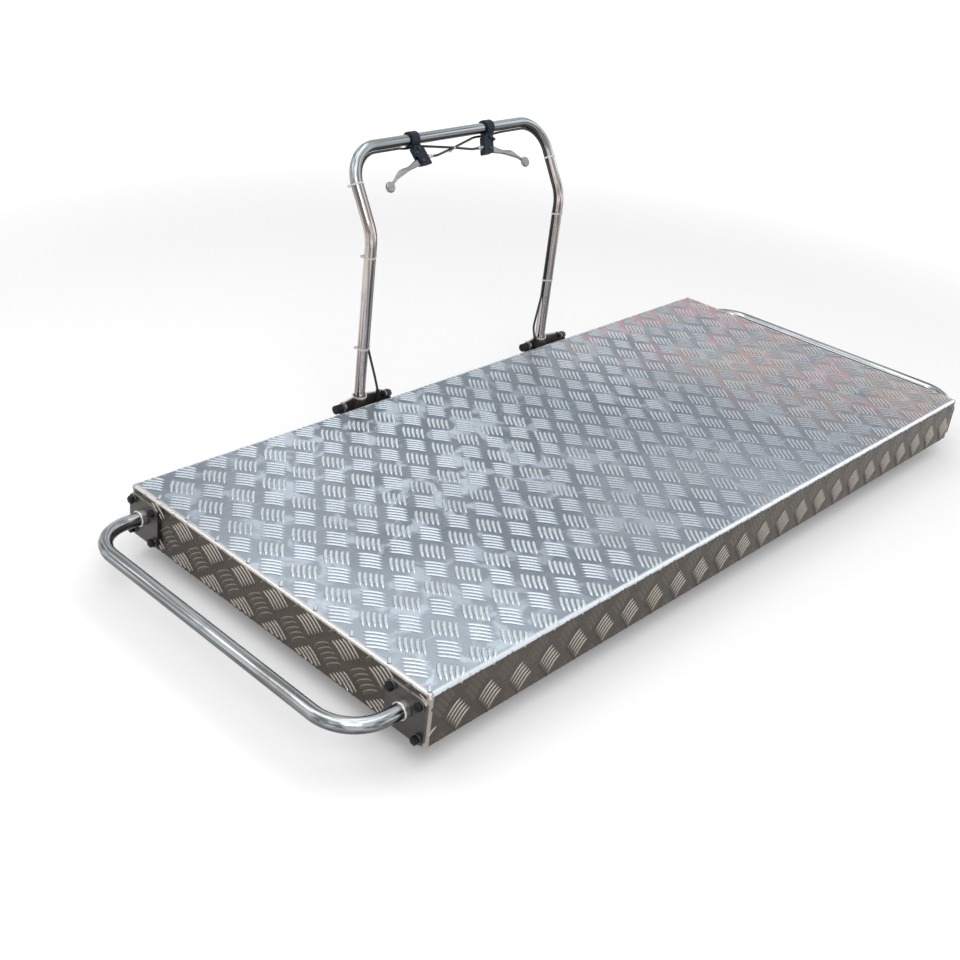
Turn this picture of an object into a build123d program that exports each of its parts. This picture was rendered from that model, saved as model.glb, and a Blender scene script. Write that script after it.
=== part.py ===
from build123d import *
import os
from math import cos, radians, sin, sqrt, tan

# Folding rail trolley: a folded tread-sheet deck on a box-tube frame, two flanged wheelsets,
# a carry bar at each end and a push handle that folds down over the deck.
# Millimetres. X runs across the track along the deck's long side, Y is the direction of travel
# with the handle at +Y, and Z is up from the tops of the rails.

os.makedirs("parts", exist_ok=True)

# Deck pan, folded from one tread sheet and welded at its corners
DECK_WIDTH = 745.0
DECK_TOP = 128.0
SKIRT_HEIGHT = 96.0
SHEET = 3.0
BEND_RADIUS = 5.0

# Box-tube frame under the deck
BEAM = 40.0
BEAM_WALL = 3.0
BEAM_CORNER = 4.0
END_ROOM = 47.0
BEARING_ROOM = 7.0

# Flanged wheels on through axles
TRACK_GAUGE = 1435.0
FLANGE_PLAY = 9.5
WHEELBASE = 510.0
TREAD_DIAMETER = 100.0
TREAD_WIDTH = 52.0
TREAD_TAPER = 2.0
FLANGE_DIAMETER = 124.0
FLANGE_THICKNESS = 14.0
RIM_THICKNESS = 12.0
WEB_THICKNESS = 12.0
HUB_DIAMETER = 50.0
HUB_STANDOUT = 12.0
AXLE_DIAMETER = 25.0
AXLE_STANDOUT = 6.0
COLLAR_DIAMETER = 42.0
COLLAR_WIDTH = 12.0
COLLAR_GAP = 1.0

# Bearing blocks hung from the bearing beams
BLOCK_WIDTH = 32.0
BLOCK_LENGTH = 112.0
BLOCK_FOOT = 12.0
HOUSING_DIAMETER = 58.0
RUNNING_FIT = 0.08

# Drum brakes on the rear axle
DRUM_DIAMETER = 92.0
DRUM_WIDTH = 26.0
DRUM_WALL = 5.0
DRUM_WEB = 6.0
DRUM_HUB = 40.0
DRUM_GAP = 5.0
BACKPLATE = 4.0
BACKPLATE_DIAMETER = 98.0
AXLE_CLEARANCE = 5.0
HOLDER_WIDTH = 30.0
HOLDER_HEIGHT = 24.0
CAM_SETBACK = 30.0
CAM_RISE = 24.0
CAM_BOSS = 17.0
ARM_LEAN = 8.0
STOP_GAP = 24.0
STOP_LENGTH = 8.0
STOP_WIDTH = 12.0
WIRE_DIAMETER = 2.0
BRAKE_ARM_WIDTH = 12.0
BRAKE_ARM_THICKNESS = 4.0

# Carry bars and their bolted end plates
BAR_TUBE = 25.0
BAR_WALL = 2.0
BAR_REACH = 115.0
BAR_BEND = 75.0
BAR_SPAN = 660.0
BAR_DROP = 46.0
PLATE_WIDTH = 84.0
PLATE_HEIGHT = 80.0
PLATE_THICKNESS = 5.0
PLATE_CORNER = 12.0
PLATE_DROP = 13.0
SOCKET_WALL = 2.0
SOCKET_LENGTH = 10.0

# Push handle
HANDLE_TUBE = 22.2
HANDLE_WALL = 2.0
HANDLE_SPAN = 570.0
LEG_Y_OFFSET = 29.0
LEAN_START = 350.0
LEAN_ANGLE = 30.0
LEAN_LENGTH = 170.0
LEAN_BEND = 80.0
HANDLE_CORNER = 70.0

# Folding feet
PIVOT_Y_OFFSET = 13.0
PIVOT_RISE = 2.0
PIVOT_DIAMETER = 8.0
PIVOT_FIT = 0.1
FOOT_SOCKET_DIAMETER = 31.0
FOOT_SOCKET_RISE = 8.0
FOOT_SOCKET_DEPTH = 52.0
FOOT_TUBE_DEPTH = 40.0
MOUTH_DIAMETER = 27.0
MOUTH_DEPTH = 9.0
WING_THICKNESS = 4.0
WING_DEPTH = 46.0
WING_HALF_SPAN = 56.0
WING_ROOT_X = 13.0
WING_ROOT_Y = 3.0
LUG_SETBACK = 9.0
LUG_RADIUS = 8.0
EAR_THICKNESS = 5.0
EAR_GAP = 1.5
EAR_RADIUS = 9.0
EAR_DEPTH = 48.0
HINGE_BASE = 3.0
KNOB_DIAMETER = 18.0
KNOB_LENGTH = 16.0
KNOB_RIBS = 14
KNOB_GROOVE = 2.4
NUT_ACROSS_FLATS = 13.0
NUT_HEIGHT = 6.0

# Hand levers on the cross bar
LEVER_INSET = 174.0
CLAMP_DIAMETER = 32.0
CLAMP_WIDTH = 20.0
NECK_WIDTH = 18.0
HEAD_WIDTH = 27.0
HEAD_START = 18.0
BRACKET_LENGTH = 56.0
BRACKET_LEAN = 19.0
BRACKET_THICKNESS = 15.0
BRACKET_CORNER = 3.0
FORK_GAP = 0.25
LEVER_PIN = 5.0
PIN_RISE = 10.0
PIN_INSET = 8.0
LEVER_THICKNESS = 7.0
LEVER_ROUNDING = 2.2
LEVER_ROOT = 13.0
PADDLE_DIAMETER = 22.0
ADJUSTER_DIAMETER = 7.0
ADJUSTER_COLLAR = 9.5
ADJUSTER_LENGTH = 16.0
ADJUSTER_DROP = 40.0

# Brake cables
CABLE_DIAMETER = 5.0
CABLE_GAP = 0.5
CABLE_SIDE = 36.0
CABLE_RUN_Z = 44.0
CABLE_ENTRY_BEND = 25.0
GROMMET_HOLE = 15.0
GROMMET_BORE = 11.0
GROMMET_FLANGE = 21.0
GROMMET_LIP = 1.5
CABLE_START = 16.0
CROSSING_DROP = 29.0
CROSSING_X = 8.0
CROSSING_FRONT = 4.0
CROSSING_APART = 8.2
BRACKET_PASS = 3.0
CABLE_LEAVES = 110.0
CABLE_OVER_FOOT = 36.0
PIVOT_CABLE_GAP = 2.8
CABLE_BENDS = 60.0
CABLE_BACK_X = 36.0
BEND_SHARE = 0.49

# Places worked out from the sizes above
flange_x = TRACK_GAUGE / 2 - FLANGE_PLAY
wheel_in = flange_x - FLANGE_THICKNESS
wheel_out = flange_x + TREAD_WIDTH
half_length = wheel_out + END_ROOM + BEAM + SHEET
bearing_x = wheel_in - HUB_STANDOUT - BEARING_ROOM - BEAM / 2
half_width = DECK_WIDTH / 2
sheet_under = DECK_TOP - SHEET
beam_under = sheet_under - BEAM
axle_z = TREAD_DIAMETER / 2
axle_y = WHEELBASE / 2
leg_x = HANDLE_SPAN / 2
lever_x = leg_x - LEVER_INSET
leg_y = half_width + LEG_Y_OFFSET
pivot_y = half_width + PIVOT_Y_OFFSET
pivot_z = DECK_TOP + PIVOT_RISE
lean_z = DECK_TOP + LEAN_START
cable_x = leg_x - CABLE_SIDE
# The cable passes the rear skirt on its bend, so the hole's height follows from the bend
bend_y = pivot_y - CABLE_ENTRY_BEND
entry_z = CABLE_RUN_Z + CABLE_ENTRY_BEND - sqrt(CABLE_ENTRY_BEND**2 - (half_width - SHEET / 2 - bend_y) ** 2)
lean = radians(LEAN_ANGLE)


def save(name, shape, colour):
    """Write one sub-part under its node name."""
    shape.label = name
    shape.color = Color(*colour)
    export_step(shape, f"parts/{name}.step")


def box_between(low, high):
    """A block given by its lowest and highest corners."""
    size = [b - a for a, b in zip(low, high)]
    middle = [(a + b) / 2 for a, b in zip(low, high)]
    return Pos(*middle) * Box(*size)


def box_tube(start, end):
    """A square frame tube from one point of its axis to another."""
    axis = Vector(*end) - Vector(*start)
    plane = Plane(origin=start, z_dir=axis)
    inner = BEAM - 2 * BEAM_WALL
    section = RectangleRounded(BEAM, BEAM, BEAM_CORNER)
    section -= RectangleRounded(inner, inner, BEAM_CORNER - BEAM_WALL)
    return extrude(plane * section, axis.length)


def largest_radii(points, limits):
    """The bend radius at each corner of a route: its own limit, or what the straight runs allow."""
    radii = []
    for before, corner, after, limit in zip(points, points[1:], points[2:], limits):
        first = Vector(*corner) - Vector(*before)
        second = Vector(*after) - Vector(*corner)
        half_turn = radians(first.get_angle(second)) / 2
        room = BEND_SHARE * min(first.length, second.length)
        radii.append(min(limit, room / tan(half_turn)))
    return radii


def round_bar(points, radii, diameter, wall=0.0):
    """A round bar or tube bent along straight runs joined by arcs."""
    path = FilletPolyline(*points, radius=radii)
    plane = Plane(origin=path @ 0, z_dir=path % 0)
    bar = sweep(plane * Circle(diameter / 2), path=path)
    if wall:
        bar -= sweep(plane * Circle(diameter / 2 - wall), path=path)
    return bar


def strip(start, end, width):
    """A flat rectangle along a line in the sketch plane."""
    run = Vector(*end) - Vector(*start)
    side = Vector(-run.Y, run.X, 0).normalized() * (width / 2)
    corners = [Vector(*start) + side, Vector(*end) + side, Vector(*end) - side, Vector(*start) - side]
    return make_face(Polyline(*corners, close=True))


ALUMINIUM = (0.72, 0.73, 0.75)
STEEL = (0.62, 0.63, 0.65)
STAINLESS = (0.80, 0.80, 0.80)
CAST = (0.30, 0.31, 0.33)
BLACK = (0.06, 0.06, 0.07)


# Deck pan
def deck_pan():
    pan = Pos(0, 0, DECK_TOP - SKIRT_HEIGHT / 2) * Box(2 * half_length, DECK_WIDTH, SKIRT_HEIGHT)
    edges = pan.edges().filter_by(Axis.Z) + pan.edges().group_by(Axis.Z)[-1]
    pan = fillet(edges, BEND_RADIUS)
    hollow = Pos(0, 0, sheet_under - SKIRT_HEIGHT / 2) * Box(
        2 * (half_length - SHEET), DECK_WIDTH - 2 * SHEET, SKIRT_HEIGHT
    )
    edges = hollow.edges().filter_by(Axis.Z) + hollow.edges().group_by(Axis.Z)[-1]
    pan -= fillet(edges, BEND_RADIUS - SHEET)
    for side in (-1, 1):
        hole = Pos(side * cable_x, half_width, entry_z) * Rot(90, 0, 0)
        pan -= hole * Cylinder(GROMMET_HOLE / 2, 4 * SHEET)
    return pan


save("deck_pan", deck_pan(), ALUMINIUM)

# Frame: two long rails, an end beam at each end and the beams that carry bearings and feet
rail_y = half_width - SHEET - BEAM / 2
rail_end = half_length - SHEET - (BEND_RADIUS - SHEET)
beam_z = sheet_under - BEAM / 2
beam_end = rail_y - BEAM / 2
for name, side in (("front", -1), ("rear", 1)):
    rail = box_tube((-rail_end, side * rail_y, beam_z), (rail_end, side * rail_y, beam_z))
    save(f"side_rail_{name}", rail, ALUMINIUM)

end_beam_x = half_length - SHEET - BEAM / 2
beams = (
    # name, place along the deck
    ("end_beam_left", -end_beam_x),
    ("end_beam_right", end_beam_x),
    ("bearing_beam_left", -bearing_x),
    ("bearing_beam_right", bearing_x),
    ("foot_beam_left", -leg_x),
    ("foot_beam_right", leg_x),
    ("middle_beam", 0.0),
)
for name, x in beams:
    save(name, box_tube((x, -beam_end, beam_z), (x, beam_end, beam_z)), ALUMINIUM)


# Wheelsets
def wheel():
    """A flanged wheel about the X axis, its flange towards the middle of the track."""
    tread = TREAD_DIAMETER / 2
    flange = FLANGE_DIAMETER / 2
    hub = HUB_DIAMETER / 2
    inner_rim = tread - RIM_THICKNESS
    bore = AXLE_DIAMETER / 2
    web_in = (wheel_in + wheel_out - WEB_THICKNESS) / 2
    web_out = web_in + WEB_THICKNESS
    outline = Polyline(
        (wheel_in - HUB_STANDOUT, bore),
        (wheel_in - HUB_STANDOUT, hub),
        (web_in, hub),
        (web_in, inner_rim),
        (wheel_in, inner_rim),
        (wheel_in, flange),
        (flange_x, flange),
        (flange_x, tread),
        (wheel_out, tread - TREAD_TAPER),
        (wheel_out, inner_rim),
        (web_out, inner_rim),
        (web_out, hub),
        (wheel_out, hub),
        (wheel_out, bore),
        close=True,
    )
    profile = make_face(outline)
    rounded = profile.vertices().filter_by(lambda v: v.Y > tread and v.X < flange_x + 1)
    profile = fillet(rounded, FLANGE_THICKNESS / 3)
    return revolve(Plane.XY * profile, Axis.X)


block_out = bearing_x + BLOCK_WIDTH / 2
block_in = bearing_x - BLOCK_WIDTH / 2


def axle():
    """The through axle with its two retaining collars."""
    half = wheel_out + AXLE_STANDOUT
    rod = Rot(0, 90, 0) * Cylinder(AXLE_DIAMETER / 2, 2 * half)
    for side in (-1, 1):
        place = side * (block_in - COLLAR_GAP - COLLAR_WIDTH / 2)
        rod += Pos(place, 0, 0) * Rot(0, 90, 0) * Cylinder(COLLAR_DIAMETER / 2, COLLAR_WIDTH)
    return rod


right_wheel = wheel()
left_wheel = mirror(right_wheel, Plane.YZ)
for name, side in (("front", -1), ("rear", 1)):
    place = Pos(0, side * axle_y, axle_z)
    save(f"axle_{name}", place * axle(), STEEL)
    save(f"wheel_{name}_left", place * left_wheel, CAST)
    save(f"wheel_{name}_right", place * right_wheel, CAST)


# Bearing blocks
def bearing_block():
    """A hanging bearing block in the YZ plane, its axle hole at the origin."""
    top = beam_under - axle_z
    housing = Circle(HOUSING_DIAMETER / 2)
    foot = Pos(0, top - BLOCK_FOOT / 2) * Rectangle(BLOCK_LENGTH, BLOCK_FOOT)
    neck = Pos(0, top / 2) * Rectangle(HOUSING_DIAMETER, top)
    section = housing + foot + neck
    section -= Circle(AXLE_DIAMETER / 2 + RUNNING_FIT)
    return extrude(Plane.YZ * section, BLOCK_WIDTH / 2, both=True)


for x_name, x_side in (("left", -1), ("right", 1)):
    for y_name, y_side in (("front", -1), ("rear", 1)):
        place = Pos(x_side * bearing_x, y_side * axle_y, axle_z)
        save(f"bearing_block_{y_name}_{x_name}", place * bearing_block(), CAST)

# Drum brakes on the rear axle
plate_x = cable_x - BRAKE_ARM_THICKNESS / 2 - BACKPLATE
drum_x = plate_x - DRUM_GAP - DRUM_WIDTH / 2
cam = (CAM_SETBACK, CAM_RISE)
arm_end = (CAM_SETBACK + ARM_LEAN, CABLE_RUN_Z - axle_z)
stop_y = arm_end[0] + STOP_GAP


def brake_drum():
    """A drum about the X axis, its open side towards +X."""
    depth = DRUM_WIDTH - DRUM_WEB
    body = Rot(0, 90, 0) * Cylinder(DRUM_DIAMETER / 2, DRUM_WIDTH)
    ring = Cylinder(DRUM_DIAMETER / 2 - DRUM_WALL, depth) - Cylinder(DRUM_HUB / 2, depth)
    body -= Pos(DRUM_WEB / 2, 0, 0) * Rot(0, 90, 0) * ring
    return body - Rot(0, 90, 0) * Cylinder(AXLE_DIAMETER / 2, 2 * DRUM_WIDTH)


def brake_backplate():
    """The fixed plate beside the drum, hung from the foot beam, with the cable's stop."""
    hold_z = beam_under + BEAM / 3 - axle_z
    top = hold_z + HOLDER_HEIGHT / 2
    plate = Circle(BACKPLATE_DIAMETER / 2)
    plate += Pos(0, top / 2) * Rectangle(HOLDER_WIDTH, top)
    plate -= Circle(AXLE_DIAMETER / 2 + AXLE_CLEARANCE)
    body = Pos(plate_x, 0, 0) * extrude(Plane.YZ * plate, BACKPLATE)
    body += box_between(
        (plate_x, -HOLDER_WIDTH / 2, hold_z - HOLDER_HEIGHT / 2),
        (leg_x - BEAM / 2, HOLDER_WIDTH / 2, top),
    )
    low = arm_end[1] - STOP_WIDTH / 2
    high = arm_end[1] + STOP_WIDTH / 2
    body += box_between((plate_x, CAM_SETBACK, low), (plate_x + BACKPLATE, stop_y, high))
    body += box_between((plate_x, stop_y - STOP_LENGTH, low), (cable_x + STOP_WIDTH / 2, stop_y, high))
    hole = Pos(cable_x, stop_y, arm_end[1]) * Rot(90, 0, 0)
    return body - hole * Cylinder(WIRE_DIAMETER / 2 + RUNNING_FIT, 4 * STOP_LENGTH)


def brake_arm():
    """The cam lever that the cable pulls."""
    arm = strip(cam, arm_end, BRAKE_ARM_WIDTH)
    arm += Pos(*cam) * Circle(CAM_BOSS / 2)
    arm += Pos(*arm_end) * Circle(BRAKE_ARM_WIDTH / 2)
    return Pos(plate_x + BACKPLATE, 0, 0) * extrude(Plane.YZ * arm, BRAKE_ARM_THICKNESS)


for name, side in (("left", -1), ("right", 1)):
    place = Pos(0, axle_y, axle_z)
    pieces = (Pos(drum_x, 0, 0) * brake_drum(), brake_backplate(), brake_arm())
    if side < 0:
        pieces = [mirror(piece, Plane.YZ) for piece in pieces]
    drum, plate, arm = pieces
    save(f"brake_drum_{name}", place * drum, CAST)
    save(f"brake_backplate_{name}", place * plate, STEEL)
    save(f"brake_arm_{name}", place * arm, STEEL)

# End plates with their sockets, and the carry bars
socket_diameter = BAR_TUBE + 2 * SOCKET_WALL
bar_z = DECK_TOP - BAR_DROP


def end_plate():
    """The plate on the right end skirt, about the point where the carry bar enters."""
    plate = RectangleRounded(PLATE_WIDTH, PLATE_HEIGHT, PLATE_CORNER)
    middle = DECK_TOP - PLATE_DROP - PLATE_HEIGHT / 2 - bar_z
    solid = extrude(Plane.YZ * Pos(0, middle) * plate, PLATE_THICKNESS)
    socket = Circle(socket_diameter / 2)
    solid += extrude(Plane.YZ * socket, PLATE_THICKNESS + SOCKET_LENGTH)
    bore = Circle(BAR_TUBE / 2 + RUNNING_FIT)
    solid -= extrude(Plane.YZ.offset(PLATE_THICKNESS) * bore, SOCKET_LENGTH + 1)
    return solid


def carry_bar():
    """The bent tube at the right end."""
    start = half_length + PLATE_THICKNESS
    reach = half_length + BAR_REACH
    points = [
        (start, -BAR_SPAN / 2, bar_z),
        (reach, -BAR_SPAN / 2, bar_z),
        (reach, BAR_SPAN / 2, bar_z),
        (start, BAR_SPAN / 2, bar_z),
    ]
    return round_bar(points, [BAR_BEND, BAR_BEND], BAR_TUBE, BAR_WALL)


for name, side in (("left", -1), ("right", 1)):
    for y_name, y_side in (("front", -1), ("rear", 1)):
        plate = Pos(half_length, y_side * BAR_SPAN / 2, bar_z) * end_plate()
        if side < 0:
            plate = mirror(plate, Plane.YZ)
        save(f"end_plate_{y_name}_{name}", plate, ALUMINIUM)
    bar = carry_bar()
    if side < 0:
        bar = mirror(bar, Plane.YZ)
    save(f"carry_bar_{name}", bar, STAINLESS)


# Push handle
def on_lean(x, rise, front=0.0):
    """A point of the handle's leaning part: along the bar, up the lean and out to the front."""
    y = leg_y + rise * sin(lean) - front * cos(lean)
    z = lean_z + rise * cos(lean) + front * sin(lean)
    return (x, y, z)


foot_z = DECK_TOP - FOOT_TUBE_DEPTH
handle_points = [
    (-leg_x, leg_y, foot_z),
    on_lean(-leg_x, 0),
    on_lean(-leg_x, LEAN_LENGTH),
    on_lean(leg_x, LEAN_LENGTH),
    on_lean(leg_x, 0),
    (leg_x, leg_y, foot_z),
]
handle_radii = [LEAN_BEND, HANDLE_CORNER, HANDLE_CORNER, LEAN_BEND]
save("handle_tube", round_bar(handle_points, handle_radii, HANDLE_TUBE, HANDLE_WALL), STAINLESS)

# Folding feet: a socket with two wings that turn on pivot bolts between fixed ears
wing_top = DECK_TOP + FOOT_SOCKET_RISE
wing_low = DECK_TOP - WING_DEPTH
pivot_v = pivot_y - leg_y


def foot():
    """The handle's foot, its socket on the Z axis and its height as in the trolley."""
    low = DECK_TOP - FOOT_SOCKET_DEPTH
    height = wing_top - low
    body = Pos(0, 0, low) * extrude(Circle(FOOT_SOCKET_DIAMETER / 2), height)
    knee_y = pivot_v + LUG_SETBACK
    lug = Pos(pivot_v, pivot_z) * Circle(LUG_RADIUS)
    lug += make_face(
        Polyline(
            (knee_y, wing_low),
            (knee_y, wing_top),
            (pivot_v, pivot_z + LUG_RADIUS),
            (pivot_v - LUG_RADIUS, pivot_z),
            (pivot_v, wing_low),
            close=True,
        )
    )
    for side in (-1, 1):
        root = (side * WING_ROOT_X, WING_ROOT_Y)
        knee = (side * WING_HALF_SPAN, knee_y)
        wing = strip(root, knee, WING_THICKNESS) + Pos(*knee) * Circle(WING_THICKNESS / 2)
        body += Pos(0, 0, wing_low) * extrude(wing, wing_top - wing_low)
        start = side * WING_HALF_SPAN - WING_THICKNESS / 2
        body += extrude(Plane.YZ.offset(start) * lug, WING_THICKNESS)
        bore = Pos(side * WING_HALF_SPAN, pivot_v, pivot_z) * Rot(0, 90, 0)
        body -= bore * Cylinder(PIVOT_DIAMETER / 2 + PIVOT_FIT, 3 * WING_THICKNESS)
    body -= Pos(0, 0, low) * extrude(Circle(HANDLE_TUBE / 2 + RUNNING_FIT), height)
    mouth = Pos(0, 0, wing_top - MOUTH_DEPTH) * extrude(Circle(MOUTH_DIAMETER / 2), MOUTH_DEPTH)
    return body - mouth


ear_in = WING_HALF_SPAN + WING_THICKNESS / 2 + EAR_GAP
ear_out = ear_in + EAR_THICKNESS


def hinge_bracket():
    """The base on the rear skirt with two ears, its middle plane at x = 0."""
    low = DECK_TOP - EAR_DEPTH
    base_high = DECK_TOP - BEND_RADIUS
    body = box_between((-ear_out, half_width, low), (ear_out, half_width + HINGE_BASE, base_high))
    ear = make_face(
        Polyline(
            (half_width, low),
            (half_width + HINGE_BASE, low),
            (pivot_y + EAR_RADIUS, pivot_z),
            (pivot_y - EAR_RADIUS, pivot_z),
            (half_width, base_high - BEND_RADIUS),
            close=True,
        )
    )
    ear += Pos(pivot_y, pivot_z) * Circle(EAR_RADIUS)
    ear -= Pos(pivot_y, pivot_z) * Circle(PIVOT_DIAMETER / 2 + PIVOT_FIT)
    for start in (-ear_out, ear_in):
        body += extrude(Plane.YZ.offset(start) * ear, EAR_THICKNESS)
    return body


def pivot_bolts():
    """Two short bolts on the pivot line, one through each ear and wing."""
    inner = WING_HALF_SPAN - WING_THICKNESS / 2 - NUT_HEIGHT / 2
    shank = extrude(Plane.YZ.offset(inner) * Circle(PIVOT_DIAMETER / 2), ear_out - inner)
    head = RegularPolygon(NUT_ACROSS_FLATS / 2, 6, major_radius=False)
    headed = shank + extrude(Plane.YZ.offset(ear_out) * head, NUT_HEIGHT)
    place = Pos(0, pivot_y, pivot_z)
    return Compound(children=[place * headed, place * mirror(shank, Plane.YZ)])


def knob():
    """The ribbed clamping knob on the left ear."""
    body = extrude(Plane.YZ * Circle(KNOB_DIAMETER / 2), KNOB_LENGTH)
    for index in range(KNOB_RIBS):
        turn = Rot(360 / KNOB_RIBS * index, 0, 0) * Pos(0, KNOB_DIAMETER / 2, 0)
        body -= turn * Rot(0, 90, 0) * Cylinder(KNOB_GROOVE / 2, 3 * KNOB_LENGTH)
    return Pos(-ear_out - KNOB_LENGTH, pivot_y, pivot_z) * body


for name, side in (("left", -1), ("right", 1)):
    save(f"handle_foot_{name}", Pos(side * leg_x, leg_y, 0) * foot(), ALUMINIUM)
    save(f"hinge_bracket_{name}", Pos(side * leg_x, 0, 0) * hinge_bracket(), ALUMINIUM)
    save(f"pivot_bolts_{name}", Pos(side * leg_x, 0, 0) * pivot_bolts(), STEEL)
    save(f"clamp_knob_{name}", Pos(side * leg_x, 0, 0) * knob(), BLACK)


# Hand levers, drawn in the plane of the handle's leaning part for the right side
head_drop = -BRACKET_LENGTH
pin_u = HEAD_WIDTH / 2 - PIN_INSET - BRACKET_LEAN * (BRACKET_LENGTH - PIN_RISE) / BRACKET_LENGTH
lever_pin = (pin_u, head_drop + PIN_RISE)
blade_stations = (
    # out from the clamp, down from the bar, half of the blade's height
    (lever_pin[0], lever_pin[1], LEVER_ROOT / 2),
    (8.0, -50.0, 7.0),
    (30.0, -57.0, 4.5),
    (54.0, -63.0, 6.5),
    (72.0, -73.0, 3.5),
    (86.0, -83.0, 5.0),
)
paddle = (91.0, -86.0)


def lever_plane(side):
    """The plane of the lean at one clamp, turned so that its X axis runs outwards."""
    origin = on_lean(side * lever_x, LEAN_LENGTH)
    front = (0, -side * cos(lean), side * sin(lean))
    return Plane(origin=origin, x_dir=(side, 0, 0), z_dir=front)


def lever_bracket():
    """The black clamp on the bar with its neck and the forked head that holds the lever."""
    shift = BRACKET_LEAN / BRACKET_LENGTH
    neck_end = -HEAD_START - BRACKET_CORNER
    neck = Polyline(
        (-NECK_WIDTH / 2, 0),
        (NECK_WIDTH / 2, 0),
        (NECK_WIDTH / 2 + neck_end * shift, neck_end),
        (-NECK_WIDTH / 2 + neck_end * shift, neck_end),
        close=True,
    )
    head = Polyline(
        (-HEAD_WIDTH / 2 - HEAD_START * shift, -HEAD_START),
        (HEAD_WIDTH / 2 - HEAD_START * shift, -HEAD_START),
        (HEAD_WIDTH / 2 - BRACKET_LEAN, head_drop),
        (-HEAD_WIDTH / 2 - BRACKET_LEAN, head_drop),
        close=True,
    )
    head = make_face(head)
    head = fillet(head.vertices(), BRACKET_CORNER)
    body = extrude(make_face(neck) + head, BRACKET_THICKNESS / 2, both=True)
    body += Rot(0, 90, 0) * Cylinder(CLAMP_DIAMETER / 2, CLAMP_WIDTH)
    body -= Rot(0, 90, 0) * Cylinder(HANDLE_TUBE / 2 + RUNNING_FIT, 2 * CLAMP_WIDTH)
    fork = Pos(lever_pin[0] + LEVER_ROOT / 2, lever_pin[1]) * Rectangle(2 * LEVER_ROOT, 2 * PIN_RISE)
    body -= extrude(fork, LEVER_THICKNESS / 2 + FORK_GAP, both=True)
    return body + Pos(*lever_pin) * Cylinder(LEVER_PIN / 2, BRACKET_THICKNESS)


def hand_lever():
    """The bright lever blade, from its pivot out to the round paddle."""
    upper = [(u, v + half) for u, v, half in blade_stations]
    lower = [(u, v - half) for u, v, half in reversed(blade_stations)]
    outline = [Spline(*upper), Line(upper[-1], lower[0]), Spline(*lower), Line(lower[-1], upper[0])]
    blade = make_face(Wire(outline))
    blade += Pos(*lever_pin) * Circle(LEVER_ROOT / 2)
    blade += Pos(*paddle) * Circle(PADDLE_DIAMETER / 2)
    solid = extrude(blade, LEVER_THICKNESS / 2, both=True)
    layers = solid.edges().group_by(Axis.Z)
    solid = fillet(layers[0] + layers[-1], LEVER_ROUNDING)
    return solid - Pos(*lever_pin) * Cylinder(LEVER_PIN / 2 + RUNNING_FIT, BRACKET_THICKNESS)


bracket_face = -HEAD_WIDTH / 2 - BRACKET_LEAN * ADJUSTER_DROP / BRACKET_LENGTH
adjuster_end = lever_x + bracket_face - ADJUSTER_LENGTH


def adjuster():
    """The cable adjuster on the inner side of the bracket, with its lock ring."""
    turn = Rot(0, 90, 0)
    barrel = Pos(bracket_face - ADJUSTER_LENGTH / 2, -ADJUSTER_DROP, 0)
    ring = Pos(bracket_face - ADJUSTER_LENGTH / 4, -ADJUSTER_DROP, 0)
    body = barrel * turn * Cylinder(ADJUSTER_DIAMETER / 2, ADJUSTER_LENGTH)
    return body + ring * turn * Cylinder(ADJUSTER_COLLAR / 2, ADJUSTER_LENGTH / 3)


for name, side in (("left", -1), ("right", 1)):
    plane = lever_plane(side)
    save(f"lever_bracket_{name}", plane * lever_bracket(), BLACK)
    save(f"hand_lever_{name}", plane * hand_lever(), ALUMINIUM)
    save(f"cable_adjuster_{name}", plane * adjuster() - plane * lever_bracket(), STEEL)

# Brake cables: each runs from one lever under the bar to the other leg, down the leg's inner
# side to the pivot line, and from there through the rear skirt to its brake
cable_offset = (HANDLE_TUBE + CABLE_DIAMETER) / 2 + CABLE_GAP
inner_x = leg_x - cable_offset
under = LEAN_LENGTH - cable_offset
behind = -(BRACKET_THICKNESS + CABLE_DIAMETER) / 2 - BRACKET_PASS
start_rise = LEAN_LENGTH - ADJUSTER_DROP


def handle_cable(side):
    """The cable on the leg of the given side, which comes from the other side's lever."""
    front = -CROSSING_FRONT - side * CROSSING_APART / 2
    points = [
        on_lean(-side * adjuster_end, start_rise),
        on_lean(-side * (adjuster_end - CABLE_START), start_rise),
        on_lean(side * CROSSING_X, LEAN_LENGTH - CROSSING_DROP, front),
        on_lean(side * (lever_x - CLAMP_DIAMETER), under, behind),
        on_lean(side * (lever_x + CLAMP_WIDTH), under, behind),
        on_lean(side * (lever_x + CABLE_BACK_X), under),
        on_lean(side * inner_x, under),
        on_lean(side * inner_x, 0),
        (side * inner_x, leg_y, DECK_TOP + CABLE_LEAVES),
        (side * cable_x, pivot_y + 2 * CABLE_DIAMETER, pivot_z + CABLE_OVER_FOOT),
        (side * cable_x, pivot_y, pivot_z + CABLE_OVER_FOOT / 3),
        (side * cable_x, pivot_y, pivot_z + PIVOT_CABLE_GAP),
    ]
    limits = [CABLE_BENDS] * 5 + [HANDLE_CORNER - cable_offset, LEAN_BEND, *[CABLE_BENDS] * 3]
    radii = largest_radii(points, limits)
    return round_bar(points, radii, CABLE_DIAMETER)


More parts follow.
